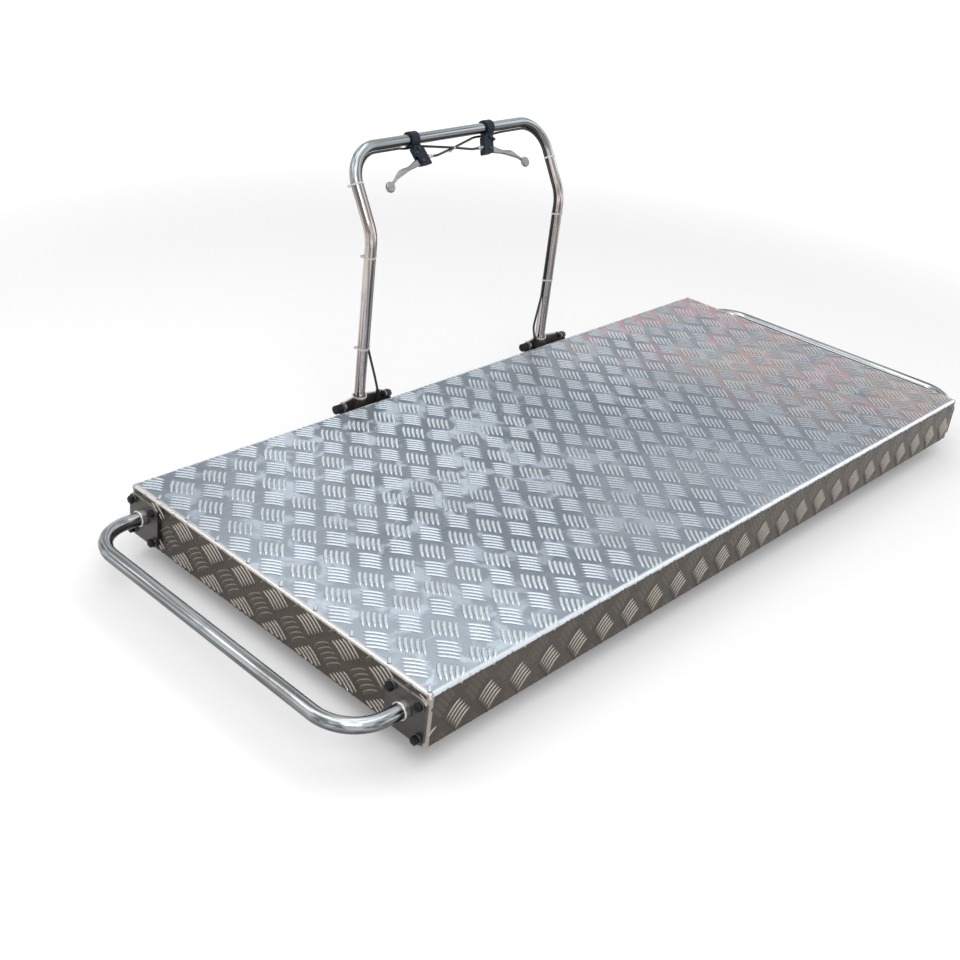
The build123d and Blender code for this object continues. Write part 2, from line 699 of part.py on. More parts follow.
def deck_cable():
    """The right cable from the pivot line through the rear skirt, and its wire to the brake arm."""
    stop = axle_y + stop_y
    points = [
        (cable_x, pivot_y, pivot_z - PIVOT_CABLE_GAP),
        (cable_x, pivot_y, CABLE_RUN_Z),
        (cable_x, stop, CABLE_RUN_Z),
    ]
    cable = round_bar(points, [CABLE_ENTRY_BEND], CABLE_DIAMETER)
    wire_run = STOP_GAP - BRAKE_ARM_WIDTH / 2
    wire = Pos(cable_x, stop - wire_run / 2, CABLE_RUN_Z) * Rot(90, 0, 0)
    return cable + wire * Cylinder(WIRE_DIAMETER / 2, wire_run)


def grommet():
    """The rubber grommet in the right hole of the rear skirt."""
    around = Rot(90, 0, 0)
    body = around * Cylinder(GROMMET_FLANGE / 2, SHEET + 2 * GROMMET_LIP)
    groove = Cylinder(GROMMET_FLANGE, SHEET) - Cylinder(GROMMET_HOLE / 2, SHEET)
    body -= around * groove + around * Cylinder(GROMMET_BORE / 2, GROMMET_FLANGE)
    return Pos(cable_x, half_width - SHEET / 2, entry_z) * body


for name, side in (("left", -1), ("right", 1)):
    pieces = (deck_cable(), grommet())
    if side < 0:
        pieces = [mirror(piece, Plane.YZ) for piece in pieces]
    cable, ring = pieces
    save(f"handle_cable_{name}", handle_cable(side), BLACK)
    save(f"deck_cable_{name}", cable, BLACK)
    save(f"cable_grommet_{name}", ring, BLACK)
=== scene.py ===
import itertools
import math
import random

import bmesh
import bpy
import numpy as np
from mathutils import Matrix, Quaternion, Vector


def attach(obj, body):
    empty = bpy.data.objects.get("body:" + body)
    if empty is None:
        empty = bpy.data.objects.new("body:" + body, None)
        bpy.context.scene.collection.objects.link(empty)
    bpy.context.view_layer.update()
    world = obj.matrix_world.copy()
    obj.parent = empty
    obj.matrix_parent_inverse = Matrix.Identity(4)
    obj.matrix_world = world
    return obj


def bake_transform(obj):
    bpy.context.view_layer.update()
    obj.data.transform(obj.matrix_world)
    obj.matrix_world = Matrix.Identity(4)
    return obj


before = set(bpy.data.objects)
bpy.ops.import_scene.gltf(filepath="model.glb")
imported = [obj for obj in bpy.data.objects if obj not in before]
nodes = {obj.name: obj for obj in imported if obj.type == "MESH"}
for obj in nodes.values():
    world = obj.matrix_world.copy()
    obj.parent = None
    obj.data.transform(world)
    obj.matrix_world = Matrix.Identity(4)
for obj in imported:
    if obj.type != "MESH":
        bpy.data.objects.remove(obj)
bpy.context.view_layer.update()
scene = bpy.context.scene

# Camera
# The trolley is seen from its front left corner, from about chest height. The lens is a short
# telephoto, and the shift keeps the whole near corner and the handle in the picture.
CAMERA_PLACE = Vector((-1.94955, -1.32228, 1.27653))
CAMERA_TARGET = Vector((-0.29452, 0.18507, 0.128))
CAMERA_ROLL = 5.915
CAMERA_LENS = 48.356
SENSOR_WIDTH = 36.0
CAMERA_SHIFT = (0.0521, -0.0417)
CLIP_START = 0.05

lens = bpy.data.cameras.new("camera")
lens.lens = CAMERA_LENS
lens.sensor_width = SENSOR_WIDTH
lens.sensor_fit = "HORIZONTAL"
lens.shift_x, lens.shift_y = CAMERA_SHIFT
lens.clip_start = CLIP_START
camera = bpy.data.objects.new("camera", lens)
scene.collection.objects.link(camera)
aim = (CAMERA_TARGET - CAMERA_PLACE).to_track_quat("-Z", "Y")
roll = Quaternion((0, 0, 1), math.radians(CAMERA_ROLL))
camera.matrix_world = Matrix.Translation(CAMERA_PLACE) @ (aim @ roll).to_matrix().to_4x4()
scene.camera = camera

# Studio
# A plain pale floor under the wheels' flanges, a white surround and four soft lamps: a large one
# overhead and three smaller ones from the front left, the front right and the rear left.
FLOOR_DROP = 0.0125
FLOOR_SIZE = 60.0
FLOOR_NEAR = 1.6
FLOOR_FAR = 4.2
FLOOR_GLOW = (0.16, 0.92)
FLOOR_COLOUR = (0.86, 0.86, 0.865, 1)
SURROUND_LIGHT = 0.42
LAMPS = (
    # name, place, width, depth, watts
    ("top_lamp", (-0.5, 0.0, 4.0), 4.2, 4.2, 88.0),
    ("front_lamp", (-2.6, -2.4, 3.2), 1.8, 1.8, 48.0),
    ("right_lamp", (3.4, -1.4, 2.0), 2.4, 2.4, 14.0),
    ("left_lamp", (-2.6, 2.1, 2.4), 1.2, 1.2, 12.0),
)
LAMP_AIM = Vector((0.0, 0.0, 0.15))


def fill(node, sockets):
    """Fill a node's sockets: a value is set on its socket, another node's socket is linked to it."""
    for key, value in sockets.items():
        if isinstance(value, bpy.types.NodeSocket):
            node.id_data.links.new(value, node.inputs[key])
        else:
            node.inputs[key].default_value = value


def add_node(tree, kind, sockets=(), **settings):
    """A shader or geometry node with its settings made and its sockets filled."""
    made = tree.nodes.new(kind)
    for name, value in settings.items():
        setattr(made, name, value)
    fill(made, dict(sockets))
    return made


def join_node(kind, sockets, **settings):
    """A node added to the tree of the sockets that it is linked to."""
    tree = next(value.id_data for value in sockets.values() if isinstance(value, bpy.types.NodeSocket))
    return add_node(tree, kind, sockets, **settings)


def calc(operation, *values):
    """The output of one Math node."""
    return join_node("ShaderNodeMath", dict(enumerate(values)), operation=operation).outputs[0]


def times(first, second):
    """The product of two values."""
    return calc("MULTIPLY", first, second)


def between(value, low, high, start=0.0, end=1.0):
    """A value carried from one range to another with soft ends."""
    sockets = {0: value, 1: low, 2: high, 3: start, 4: end}
    return join_node("ShaderNodeMapRange", sockets, interpolation_type="SMOOTHSTEP").outputs[0]


def new_material(name):
    """A material, the tree to build in and its Principled shader."""
    material = bpy.data.materials.new(name)
    material.use_nodes = True
    tree = material.node_tree
    return material, tree, tree.nodes["Principled BSDF"]


def surface(tree):
    """A point's place on its piece, and the way that the surface faces there."""
    coords = add_node(tree, "ShaderNodeTexCoord").outputs
    return coords["Object"], coords["Normal"]


world = bpy.data.worlds.new("surround")
scene.world = world
world.use_nodes = True
tree = world.node_tree
rays = add_node(tree, "ShaderNodeLightPath").outputs
seen = calc("MAXIMUM", rays["Is Camera Ray"], rays["Is Glossy Ray"])
seen = calc("MAXIMUM", seen, rays["Is Transmission Ray"])
strength = join_node("ShaderNodeMapRange", {0: seen, 3: SURROUND_LIGHT, 4: 1.0}).outputs[0]
fill(tree.nodes["Background"], {"Color": (1, 1, 1, 1), "Strength": strength})

for name, place, width, depth, watts in LAMPS:
    lamp = bpy.data.lights.new(name, "AREA")
    lamp.shape = "RECTANGLE"
    lamp.size = width
    lamp.size_y = depth
    lamp.energy = watts
    holder = bpy.data.objects.new(name, lamp)
    scene.collection.objects.link(holder)
    holder.location = place
    holder.rotation_euler = (LAMP_AIM - Vector(place)).to_track_quat("-Z", "Y").to_euler()

scene.view_settings.view_transform = "Standard"

floor_mesh = bpy.data.meshes.new("floor")
edge = FLOOR_SIZE / 2
corners = [(x * edge, y * edge, -FLOOR_DROP) for x, y in ((-1, -1), (1, -1), (1, 1), (-1, 1))]
floor_mesh.from_pydata(corners, [], [(0, 1, 2, 3)])
floor = bpy.data.objects.new("floor", floor_mesh)
scene.collection.objects.link(floor)
floor_paint, tree, shader = new_material("floor_paint")
rays = add_node(tree, "ShaderNodeLightPath").outputs
seen = calc("MAXIMUM", rays["Is Camera Ray"], rays["Is Glossy Ray"])
place = surface(tree)[0]
away = join_node("ShaderNodeVectorMath", {0: place}, operation="LENGTH").outputs["Value"]
fill(shader, {
    "Base Color": FLOOR_COLOUR,
    "Roughness": 0.9,
    "Specular IOR Level": 0.1,
    "Emission Color": (1, 1, 1, 1),
    "Emission Strength": times(seen, between(away, FLOOR_NEAR, FLOOR_FAR, *FLOOR_GLOW)),
})
floor_mesh.materials.append(floor_paint)

# Frame under the deck
# Nine lengths of square aluminium box tube, mill finished, welded together and into the deck pan.
# Their faces show the die lines of the extrusion along each tube, and dust from the ballast.
TUBE_COLOUR = (0.33, 0.335, 0.34, 1)
TUBE_DULL = (0.22, 0.215, 0.205, 1)
DUST_COLOUR = (0.23, 0.20, 0.165, 1)


def plus(first, second):
    """The sum of two values."""
    return calc("ADD", first, second)


def minus(first, second):
    """The difference of two values."""
    return calc("SUBTRACT", first, second)


def mix(share, first, second):
    """A colour between two, by a share from 0 to 1."""
    sockets = {0: share, 6: first, 7: second}
    return join_node("ShaderNodeMix", sockets, data_type="RGBA").outputs[2]


def cover(under, over, mask, strength):
    """A colour laid over another through a mask, at a strength."""
    return mix(times(mask, strength), under, over)


def noise(place, scale, detail, **sockets):
    """The value of a cloudy noise at a place."""
    sockets.update(Vector=place, Scale=scale, Detail=detail)
    return join_node("ShaderNodeTexNoise", sockets).outputs[0]


def relief(strength, distance, height):
    """The normal of a surface on which a height stands out a little."""
    sockets = {"Strength": strength, "Distance": distance, "Height": height}
    return join_node("ShaderNodeBump", sockets).outputs[0]


def new_pattern(name, inputs, outputs):
    """A shader node group at a place; inputs as (name, kind, value), outputs as the names of its masks."""
    group = bpy.data.node_groups.new(name, "ShaderNodeTree")
    group.interface.new_socket("Vector", in_out="INPUT", socket_type="NodeSocketVector")
    for label, kind, value in inputs:
        socket = group.interface.new_socket(label, in_out="INPUT", socket_type="NodeSocket" + kind)
        socket.default_value = value
    for label in outputs:
        group.interface.new_socket(label, in_out="OUTPUT", socket_type="NodeSocketFloat")
    return group, group.nodes.new("NodeGroupInput").outputs, group.nodes.new("NodeGroupOutput")


def use_pattern(group, place, **sockets):
    """The masks of one use of a pattern in a material."""
    return join_node("ShaderNodeGroup", {"Vector": place, **sockets}, node_tree=group).outputs


# brushed: fine lines along one axis, and wide blotches
brushed, taken, given = new_pattern(
    "brushed", (("Stretch", "Vector", (1, 1, 1)), ("Fineness", "Float", 400.0)), ("Lines", "Blotches")
)
streak_place = join_node("ShaderNodeVectorMath", {0: taken[0], 1: taken[1]}, operation="MULTIPLY").outputs[0]
fine = between(noise(streak_place, taken[2], 3.0), 0.35, 0.65)
wide = between(noise(taken[0], 9.0, 4.0), 0.38, 0.66)
fill(given, {0: fine, 1: wide})

# grime: settled dust and hand dirt, in patches with ragged edges
grime, taken, given = new_pattern(
    "grime", (("Scale", "Float", 12.0), ("Amount", "Float", 0.5)), ("Mask", "Specks")
)
limit = minus(0.78, times(taken[2], 0.45))
patch = noise(taken[0], taken[1], 6.0, Roughness=0.65)
patch = between(patch, limit, plus(limit, 0.16))
specks = between(noise(taken[0], 340.0, 2.0), 0.60, 0.72)
fill(given, {0: patch, 1: specks})

# scuffs: thin bright scratches in three directions, broken up by patches
scuffs, taken, given = new_pattern("scuffs", (("Scale", "Float", 30.0), ("Amount", "Float", 0.5)), ("Mask",))
total = 0.0
for turn, stretch in ((0.35, 26.0), (1.25, 34.0), (2.3, 22.0)):
    sockets = {"Vector": taken[0], "Rotation": (0.4 * turn, 0.3, turn), "Scale": (1, stretch, stretch)}
    turned = join_node("ShaderNodeMapping", sockets).outputs[0]
    thin = between(noise(turned, taken[1], 1.0), 0.70, 0.78)
    total = calc("MAXIMUM", total, thin)
limit = minus(0.75, times(taken[2], 0.4))
shown = between(noise(taken[0], 5.0, 3.0), limit, plus(limit, 0.12))
fill(given, {0: times(total, shown)})


def metal_surface(name, pale, deep, stretch, fineness, roughness, dirt=0.35):
    """Worked metal: brushed lines between two tones, scratches, and dust in patches."""
    material, tree, shader = new_material(name)
    place = surface(tree)[0]
    lines = use_pattern(brushed, place, Stretch=stretch, Fineness=fineness)
    dust = use_pattern(grime, place, Amount=dirt)
    worn = use_pattern(scuffs, place, Amount=dirt + 0.2)
    colour = mix(plus(times(lines[0], 0.55), times(lines[1], 0.45)), deep, pale)
    bright = tuple(min(1.0, 1.45 * part) for part in pale[:3]) + (1,)
    colour = cover(colour, bright, worn[0], 0.7)
    settled = times(dust[0], dirt)
    rough = plus(roughness, times(lines[0], 0.08))
    fill(shader, {
        "Base Color": mix(settled, colour, DUST_COLOUR),
        "Roughness": plus(rough, times(settled, 0.5)),
        "Metallic": minus(1.0, settled),
        "Normal": relief(0.12, 0.0006, lines[0]),
    })
    return material


def paint_node(name, material):
    """Give a CAD node its finish."""
    for slot in nodes[name].material_slots:
        slot.material = material


rail_metal = metal_surface("rail_metal", TUBE_COLOUR, TUBE_DULL, (0.02, 1, 1), 420.0, 0.36)
beam_metal = metal_surface("beam_metal", TUBE_COLOUR, TUBE_DULL, (1, 0.02, 1), 420.0, 0.36)
for name in ("side_rail_front", "side_rail_rear"):
    paint_node(name, rail_metal)
beams = [f"{kind}_beam_{side}" for kind in ("end", "bearing", "foot") for side in ("left", "right")]
for name in beams + ["middle_beam"]:
    paint_node(name, beam_metal)

# Deck pan
# One aluminium sheet folded down on all four sides. The top is polished by loads and boots to a pale
# blue-grey with cloudy scuffs, the skirts are darkened by painted shade, and the bends and corners carry a
# painted highlight.
DECK_TOP = 0.128
HALF_LENGTH = 0.850
HALF_WIDTH = 0.3725
BEND_RADIUS = 0.005
SKIRT_HEIGHT = 0.096
TOP_PALE = (0.285, 0.325, 0.370, 1)
TOP_DEEP = (0.190, 0.220, 0.262, 1)
# painted highlight at the front left corner
TOP_NEAR_HIGHLIGHT = (0.43, 0.49, 0.55, 1)
# painted shade across the middle of the top
TOP_SHADE = (0.142, 0.180, 0.221, 1)
TOP_WARM = (0.480, 0.275, 0.295, 1)
TOP_SAND = (0.390, 0.350, 0.270, 1)
# painted blue reflection in spots
TOP_BLUE_REFLECTION = (0.62, 0.70, 0.79, 1)
TOP_SCRATCH = (0.66, 0.71, 0.76, 1)
LIT_PLACE = (-0.42, 0.16, 0.128)
# painted shade: the skirts are the same sheet as the top, in darker tones, with their lines and dust darkened
# too
SKIRT_SHADED_PALE = (0.093, 0.079, 0.065, 1)
SKIRT_SHADED_DEEP = (0.061, 0.051, 0.042, 1)
SKIRT_SHADED_LINE = (0.128, 0.112, 0.097, 1)
SKIRT_SHADED_DUST = (0.115, 0.098, 0.070, 1)
# painted highlights on the rounded upright corners and on the bends
CORNER_HIGHLIGHT = (0.40, 0.37, 0.345, 1)
BEND_HIGHLIGHT = (0.70, 0.75, 0.80, 1)
END_BEND_HIGHLIGHT = (0.61, 0.595, 0.575, 1)
UNDER_PALE = (0.27, 0.268, 0.262, 1)
UNDER_DEEP = (0.17, 0.167, 0.160, 1)


def past(part, half, inner, outer):
    """A mask that grows between two distances inside a sheet's edge, to either side of its middle."""
    return between(calc("ABSOLUTE", part), half - inner, half - outer)


def split(vector):
    """The three parts of a vector."""
    return join_node("ShaderNodeSeparateXYZ", {0: vector}).outputs


tread_metal, tree, shader = new_material("tread_metal")
place, normal = surface(tree)
xyz = split(place)
lines = use_pattern(brushed, place, Stretch=(0.05, 1, 1), Fineness=260.0)
worn = use_pattern(scuffs, place, Scale=16.0, Amount=0.85)
dust = use_pattern(grime, place, Scale=5.0, Amount=0.55)
clouds = noise(place, 3.2, 6.0, Roughness=0.6)
veins = noise(place, 7.0, 5.0, Distortion=1.6)
spots = noise(place, 19.0, 3.0, Distortion=0.7)

# the top: cloudy, with painted shade across the middle, warm at the right end, and a painted highlight and
# painted blue reflections at the front left corner
top = mix(between(clouds, 0.36, 0.62), TOP_DEEP, TOP_PALE)
# painted shade in a band across the middle of the top
slanting = plus(xyz[0], times(xyz[1], 1.1))
slanting = calc("ABSOLUTE", minus(slanting, 0.24))
top = mix(between(slanting, 0.55, 0.05, 0.0, 0.75), top, TOP_SHADE)
far = between(plus(xyz[0], times(xyz[1], 0.4)), 0.20, 0.75)
top = cover(top, TOP_WARM, times(far, between(veins, 0.36, 0.56)), 0.8)
top = cover(top, TOP_SAND, times(far, between(clouds, 0.50, 0.62)), 0.6)
# painted highlight at the front left corner, and painted blue reflections in spots there and round LIT_PLACE
near = between(plus(xyz[0], times(xyz[1], 0.6)), -0.55, -1.1)
top = cover(top, TOP_NEAR_HIGHLIGHT, near, 0.85)
lit = join_node("ShaderNodeVectorMath", {0: place, 1: LIT_PLACE}, operation="DISTANCE").outputs["Value"]
lit = plus(times(near, 0.65), between(lit, 0.48, 0.12, 0.25, 0.75))
top = cover(top, TOP_BLUE_REFLECTION, between(spots, 0.50, 0.64), lit)
top = cover(top, TOP_SCRATCH, worn[0], 0.5)

# the skirts, darkened with painted shade, and the bends and corners between them and the top, with a painted
# highlight
skirt = mix(between(clouds, 0.35, 0.65), SKIRT_SHADED_DEEP, SKIRT_SHADED_PALE)
skirt = cover(skirt, SKIRT_SHADED_LINE, lines[0], 0.25)
skirt = cover(skirt, SKIRT_SHADED_DUST, dust[0], 0.35)
colour = mix(between(xyz[2], DECK_TOP - 0.0062, DECK_TOP - 0.0010), skirt, top)
# painted highlight along the bends and the edge of the top beside them, broken up by noise
end_rim = past(xyz[0], HALF_LENGTH, 0.0085, 0.0055)
long_rim = past(xyz[1], HALF_WIDTH, 0.0075, 0.0050)
rim = calc("MAXIMUM", end_rim, long_rim)
rim = calc("MAXIMUM", rim, between(xyz[2], DECK_TOP, DECK_TOP - 0.0010))
crest_highlight = times(between(xyz[2], DECK_TOP - 0.0068, DECK_TOP - 0.0034), rim)
crest_highlight = times(crest_highlight, between(noise(place, 70.0, 4.0), 0.25, 0.5, 0.45, 1.0))
bend = mix(past(xyz[0], HALF_LENGTH, 0.0085, 0.0060), BEND_HIGHLIGHT, END_BEND_HIGHLIGHT)
colour = mix(crest_highlight, colour, bend)
# painted highlight on the rounded upright corners
end_side = past(xyz[0], HALF_LENGTH, 0.0095, 0.0065)
long_side = past(xyz[1], HALF_WIDTH, 0.0095, 0.0065)
colour = cover(colour, CORNER_HIGHLIGHT, times(end_side, long_side), 0.85)

# the duller underside
under = between(split(normal)[2], -0.3, -0.7)
lower = mix(between(clouds, 0.36, 0.62), UNDER_DEEP, UNDER_PALE)
lower = cover(lower, DUST_COLOUR, dust[0], 0.7)
rough = plus(0.30, times(clouds, 0.14))
rough = plus(rough, times(under, 0.25))
fill(shader, {
    "Base Color": mix(under, colour, lower),
    "Metallic": 1.0,
    "Roughness": minus(rough, times(crest_highlight, 0.1)),
    "Normal": relief(0.15, 0.0006, plus(times(lines[0], 0.3), worn[0])),
})
paint_node("deck_pan", tread_metal)

# Five-bar tread
# Low curved bars rolled into the sheet in groups of five, each group square to its neighbours. The
# rolled pattern runs over the front and rear bends and down the skirts, and again on both ends, and
# the sheet's edges cut it. The bars' crests are rubbed white and carry a painted highlight, their
# flanks carry painted light and shade, and painted shade lies along their feet.
CELL_LENGTH = 0.0697
CELL_WIDTH = 0.083
END_CELL_DROP = 0.0622
BAR_LENGTH = 0.0440
BAR_HALF_WIDTH = 0.0037
BAR_HEIGHT = 0.0015
BAR_SAG = 0.0022
BAR_ROOT = 0.0002
BAR_TIP = 0.12
BAR_SECTION = ((-1.0, 0.0), (-0.64, 0.80), (0.0, 1.0), (0.64, 0.80), (1.0, 0.0))
SHORTEST_BAR = 0.014
BAR_SPACING = 0.0091
BARS = 5
BAR_STATIONS = 7
TOP_PHASE = (-0.787, -0.1045)
END_PHASE = (-0.0535, 0.0267)
FARTHEST_CELL = 2.2


def new_piece(name, mesh, material, body):
    """A finished piece at the origin: its finish, the body that it rides on, if one."""
    piece = bpy.data.objects.new(name, mesh)
    scene.collection.objects.link(piece)
    if material:
        mesh.materials.clear()
        mesh.materials.append(material)
    if body:
        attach(piece, body)
    return piece


def shape_mesh(name, points, faces, smooth=True):
    """A mesh from points and faces, with its normals outwards."""
    mesh = bpy.data.meshes.new(name)
    mesh.from_pydata([tuple(point) for point in points], [], faces)
    work = bmesh.new()
    work.from_mesh(mesh)
    bmesh.ops.remove_doubles(work, verts=work.verts, dist=1e-7)
    bmesh.ops.recalc_face_normals(work, faces=work.faces)
    work.to_mesh(mesh)
    work.free()
    mesh.polygons.foreach_set("use_smooth", [smooth] * len(mesh.polygons))
    return mesh


# The tree that sets a shape at every point: facing along one attribute and turned by another
set_at_points = bpy.data.node_groups.new("set_at_points", "GeometryNodeTree")
tree = set_at_points
for label, kind in (
    ("Geometry", "Geometry"),
    ("Shape", "Object"),
    ("Finish", "Material"),
    ("Size", "Float"),
    ("Uneven Turn", "Float"),
    ("Seed", "Int"),
):
    tree.interface.new_socket(label, in_out="INPUT", socket_type="NodeSocket" + kind)
tree.interface.new_socket("Geometry", in_out="OUTPUT", socket_type="NodeSocketGeometry")
taken = tree.nodes.new("NodeGroupInput").outputs
facing, turn = [
    add_node(tree, "GeometryNodeInputNamedAttribute", {"Name": name}, data_type=kind).outputs[0]
    for name, kind in (("facing", "FLOAT_VECTOR"), ("turn", "FLOAT"))
]
sockets = {2: times(taken["Uneven Turn"], -1.0), 3: taken["Uneven Turn"], "Seed": taken["Seed"]}
chance = add_node(tree, "FunctionNodeRandomValue", sockets, data_type="FLOAT").outputs[1]
sockets = {"Axis": (0, 0, 1), "Angle": plus(turn, chance)}
spun = add_node(tree, "FunctionNodeAxisAngleToRotation", sockets).outputs[0]
faced = add_node(tree, "FunctionNodeAlignRotationToVector", {"Vector": facing}, axis="Z").outputs[0]
turned = add_node(tree, "FunctionNodeRotateRotation", {0: faced, 1: spun}, rotation_space="LOCAL").outputs[0]
shape = add_node(tree, "GeometryNodeObjectInfo", {"Object": taken["Shape"]}).outputs["Geometry"]
sockets = {"Points": taken["Geometry"], "Instance": shape, "Rotation": turned, "Scale": taken["Size"]}
copies = add_node(tree, "GeometryNodeInstanceOnPoints", sockets).outputs[0]
real = add_node(tree, "GeometryNodeRealizeInstances", {0: copies}).outputs[0]
done = add_node(tree, "GeometryNodeSetMaterial", {"Geometry": real, "Material": taken["Finish"]}).outputs[0]
fill(tree.nodes.new("NodeGroupOutput"), {0: done})


def set_shapes(name, shape, places, material, uneven=0.0, marks=None):
    """Copies of a shape at places given as (point, facing, turn), as one plain mesh."""
    points = bpy.data.meshes.new(name + "_points")
    points.from_pydata([tuple(place[0]) for place in places], [], [])
    ways = points.attributes.new("facing", "FLOAT_VECTOR", "POINT")
    ways.data.foreach_set("vector", [part for place in places for part in place[1]])
    turns = points.attributes.new("turn", "FLOAT", "POINT")
    turns.data.foreach_set("value", [place[2] for place in places])
    if marks:
        faint = points.attributes.new("faint", "FLOAT", "POINT")
        faint.data.foreach_set("value", marks)
    pattern = bpy.data.objects.new(name + "_shape", shape)
    carrier = bpy.data.objects.new(name + "_carrier", points)
    scene.collection.objects.link(carrier)
    maker = carrier.modifiers.new("set", "NODES")
    maker.node_group = set_at_points
    values = {"Shape": pattern, "Finish": material, "Size": 1.0, "Uneven Turn": uneven, "Seed": 7}
    for item in set_at_points.interface.items_tree:
        if item.in_out == "INPUT" and item.name in values:
            maker[item.identifier] = values[item.name]
    graph = bpy.context.evaluated_depsgraph_get()
    mesh = bpy.data.meshes.new_from_object(carrier.evaluated_get(graph))
    bpy.data.objects.remove(carrier)
    bpy.data.objects.remove(pattern)
    mesh.name = name
    return mesh


def bar_bow(along):
    """How far a bar's middle line lies to its side, at a place along it."""
    return BAR_SAG * (0.5 - (2 * along / BAR_LENGTH) ** 2)


def bar_body(along):
    """The share of its full width and height that a bar has, at a place along it."""
    return BAR_TIP + (1 - BAR_TIP) * np.sqrt(np.clip(1 - (2 * along / BAR_LENGTH) ** 4, 0, 1))


def tread_bar():
    """One low bar along X: pointed in plan, rounded over, and bowed towards +Y."""
    points = []
    across = len(BAR_SECTION)
    for index in range(BAR_STATIONS):
        x = BAR_LENGTH * (index / (BAR_STATIONS - 1) - 0.5)
        body = bar_body(x)
        for side, share in BAR_SECTION:
            y = bar_bow(x) + side * BAR_HALF_WIDTH * body
            points.append((x, y, share * BAR_HEIGHT * body - BAR_ROOT))
    faces = []
    for index in range(BAR_STATIONS - 1):
        first = across * index
        for low in range(first, first + across - 1):
            faces.append((low, low + 1, low + across + 1, low + across))
    last = across * (BAR_STATIONS - 1)
    faces += [tuple(range(across - 1, -1, -1)), tuple(range(last, last + across))]
    mesh = shape_mesh("tread_bar", points, faces)
    rise = mesh.attributes.new("rise", "FLOAT", "POINT")
    rise.data.foreach_set("value", [share for _ in range(BAR_STATIONS) for _, share in BAR_SECTION])
    return mesh


def kept_span(point, way, low, high):
    """The part of a bar's length that lies on a sheet with the given lowest and highest corner."""
    start, end = -BAR_LENGTH / 2, BAR_LENGTH / 2
    for place, slope, least, most in zip(point, way, low, high):
        crossings = sorted(((least - place) / slope, (most - place) / slope))
        start = max(start, crossings[0])
        end = min(end, crossings[1])
    return start, end


def bar_places(across, down, phase, low, high, covered):
    """Places, kinds and kept spans of all bars on a flat sheet, for cells of the given size and phase."""
    places = []
    kinds = []
    spans = []
    diagonal = math.hypot(across, down)
    reach = int(FARTHEST_CELL / min(across, down))
    cells = range(-reach, reach)
    for column, row, kind, bar in itertools.product(cells, cells, (0, 1), range(BARS)):
        way = (across / diagonal, (1 - 2 * kind) * down / diagonal)
        step = (bar - (BARS - 1) / 2) * BAR_SPACING
        x = phase[0] + (column + kind / 2) * across + step * way[0]
        y = phase[1] + (row + kind / 2) * down - step * way[1]
        start, end = kept_span((x, y), way, low, high)
        reached = [(x + t * way[0], y + t * way[1]) for t in (start, (start + end) / 2, end)]
        if end - start > SHORTEST_BAR and not all(covered(*at) for at in reached):
            places.append(((x, y, 0), (0, 0, 1), math.atan2(way[1], way[0])))
            kinds.append(float(kind))
            spans.append((start, end))
    return places, kinds, spans


def cut_bars(mesh, places, spans, turned=1):
    """Shorten every bar to its span, with the full section at the cut; returns the points' array."""
    flat = np.zeros(len(mesh.vertices) * 3)
    mesh.vertices.foreach_get("co", flat)
    points = flat.reshape(len(places), -1, 3)
    middle = np.array([place[0] for place in places])[:, None, :]
    angle = np.array([place[2] for place in places])[:, None]
    start, end = np.sort(turned * np.array(spans), axis=1).T[:, :, None]
    away = points - middle
    along = away[..., 0] * np.cos(angle) + away[..., 1] * np.sin(angle)
    aside = away[..., 1] * np.cos(angle) - away[..., 0] * np.sin(angle)
    kept = np.clip(along, start, end)
    share = bar_body(kept) / bar_body(along)
    aside = bar_bow(kept) + (aside - bar_bow(along)) * share
    x = middle[..., 0] + kept * np.cos(angle) - aside * np.sin(angle)
    y = middle[..., 1] + kept * np.sin(angle) + aside * np.cos(angle)
    rise = (away[..., 2] + BAR_ROOT) * share - BAR_ROOT
    return np.stack([x, y, rise], axis=-1).reshape(-1, 3).T


FLAT_END = HALF_WIDTH - BEND_RADIUS
ARC = BEND_RADIUS * math.pi / 2
UNFOLDED = FLAT_END + ARC + SKIRT_HEIGHT - BEND_RADIUS
LEG_X = 0.285
HINGE_HALF = 0.066
HINGE_FOOT = 0.050
CABLE_X = 0.249
GROMMET_Z = 0.0463
GROMMET_COVER = 0.013
PRESSED_IN = 0.0004
FAINT_LOSS = 0.8
FAINT_OVER = 0.003


def strip_covered(x, y):
    """Whether a point of the unfolded top and skirts lies under a hinge base or the grommet."""
    z = DECK_TOP - BEND_RADIUS - (y - FLAT_END - ARC)
    under_hinge = abs(abs(x) - LEG_X) < HINGE_HALF and DECK_TOP - HINGE_FOOT < z < DECK_TOP - BEND_RADIUS
    return under_hinge or math.hypot(abs(x) - CABLE_X, z - GROMMET_Z) < GROMMET_COVER


def fold_strip(mesh, points, kinds):
    """Bend flat bars over the front and rear edges and down the skirts, one kind lower there."""
    x, y, rise = points
    beyond = np.abs(y) - FLAT_END
    faint = np.repeat(np.array(kinds), len(x) // len(kinds))
    rise = rise * (1 - FAINT_LOSS * faint * np.clip((beyond - ARC) / FAINT_OVER, 0, 1))
    angle = np.clip(beyond, 0, ARC) / BEND_RADIUS
    pressed = np.clip(1.6 - 3.2 * np.abs(2 * angle / math.pi - 0.5), 0, 1)
    radius = BEND_RADIUS + rise * (1 - pressed) - PRESSED_IN * pressed
    out = FLAT_END + np.minimum(beyond, 0) + radius * np.sin(angle)
    z = DECK_TOP - BEND_RADIUS + radius * np.cos(angle) - np.maximum(beyond - ARC, 0)
    folded = np.column_stack([x, np.sign(y) * out, z])
    mesh.vertices.foreach_set("co", folded.ravel())
    mesh.update()


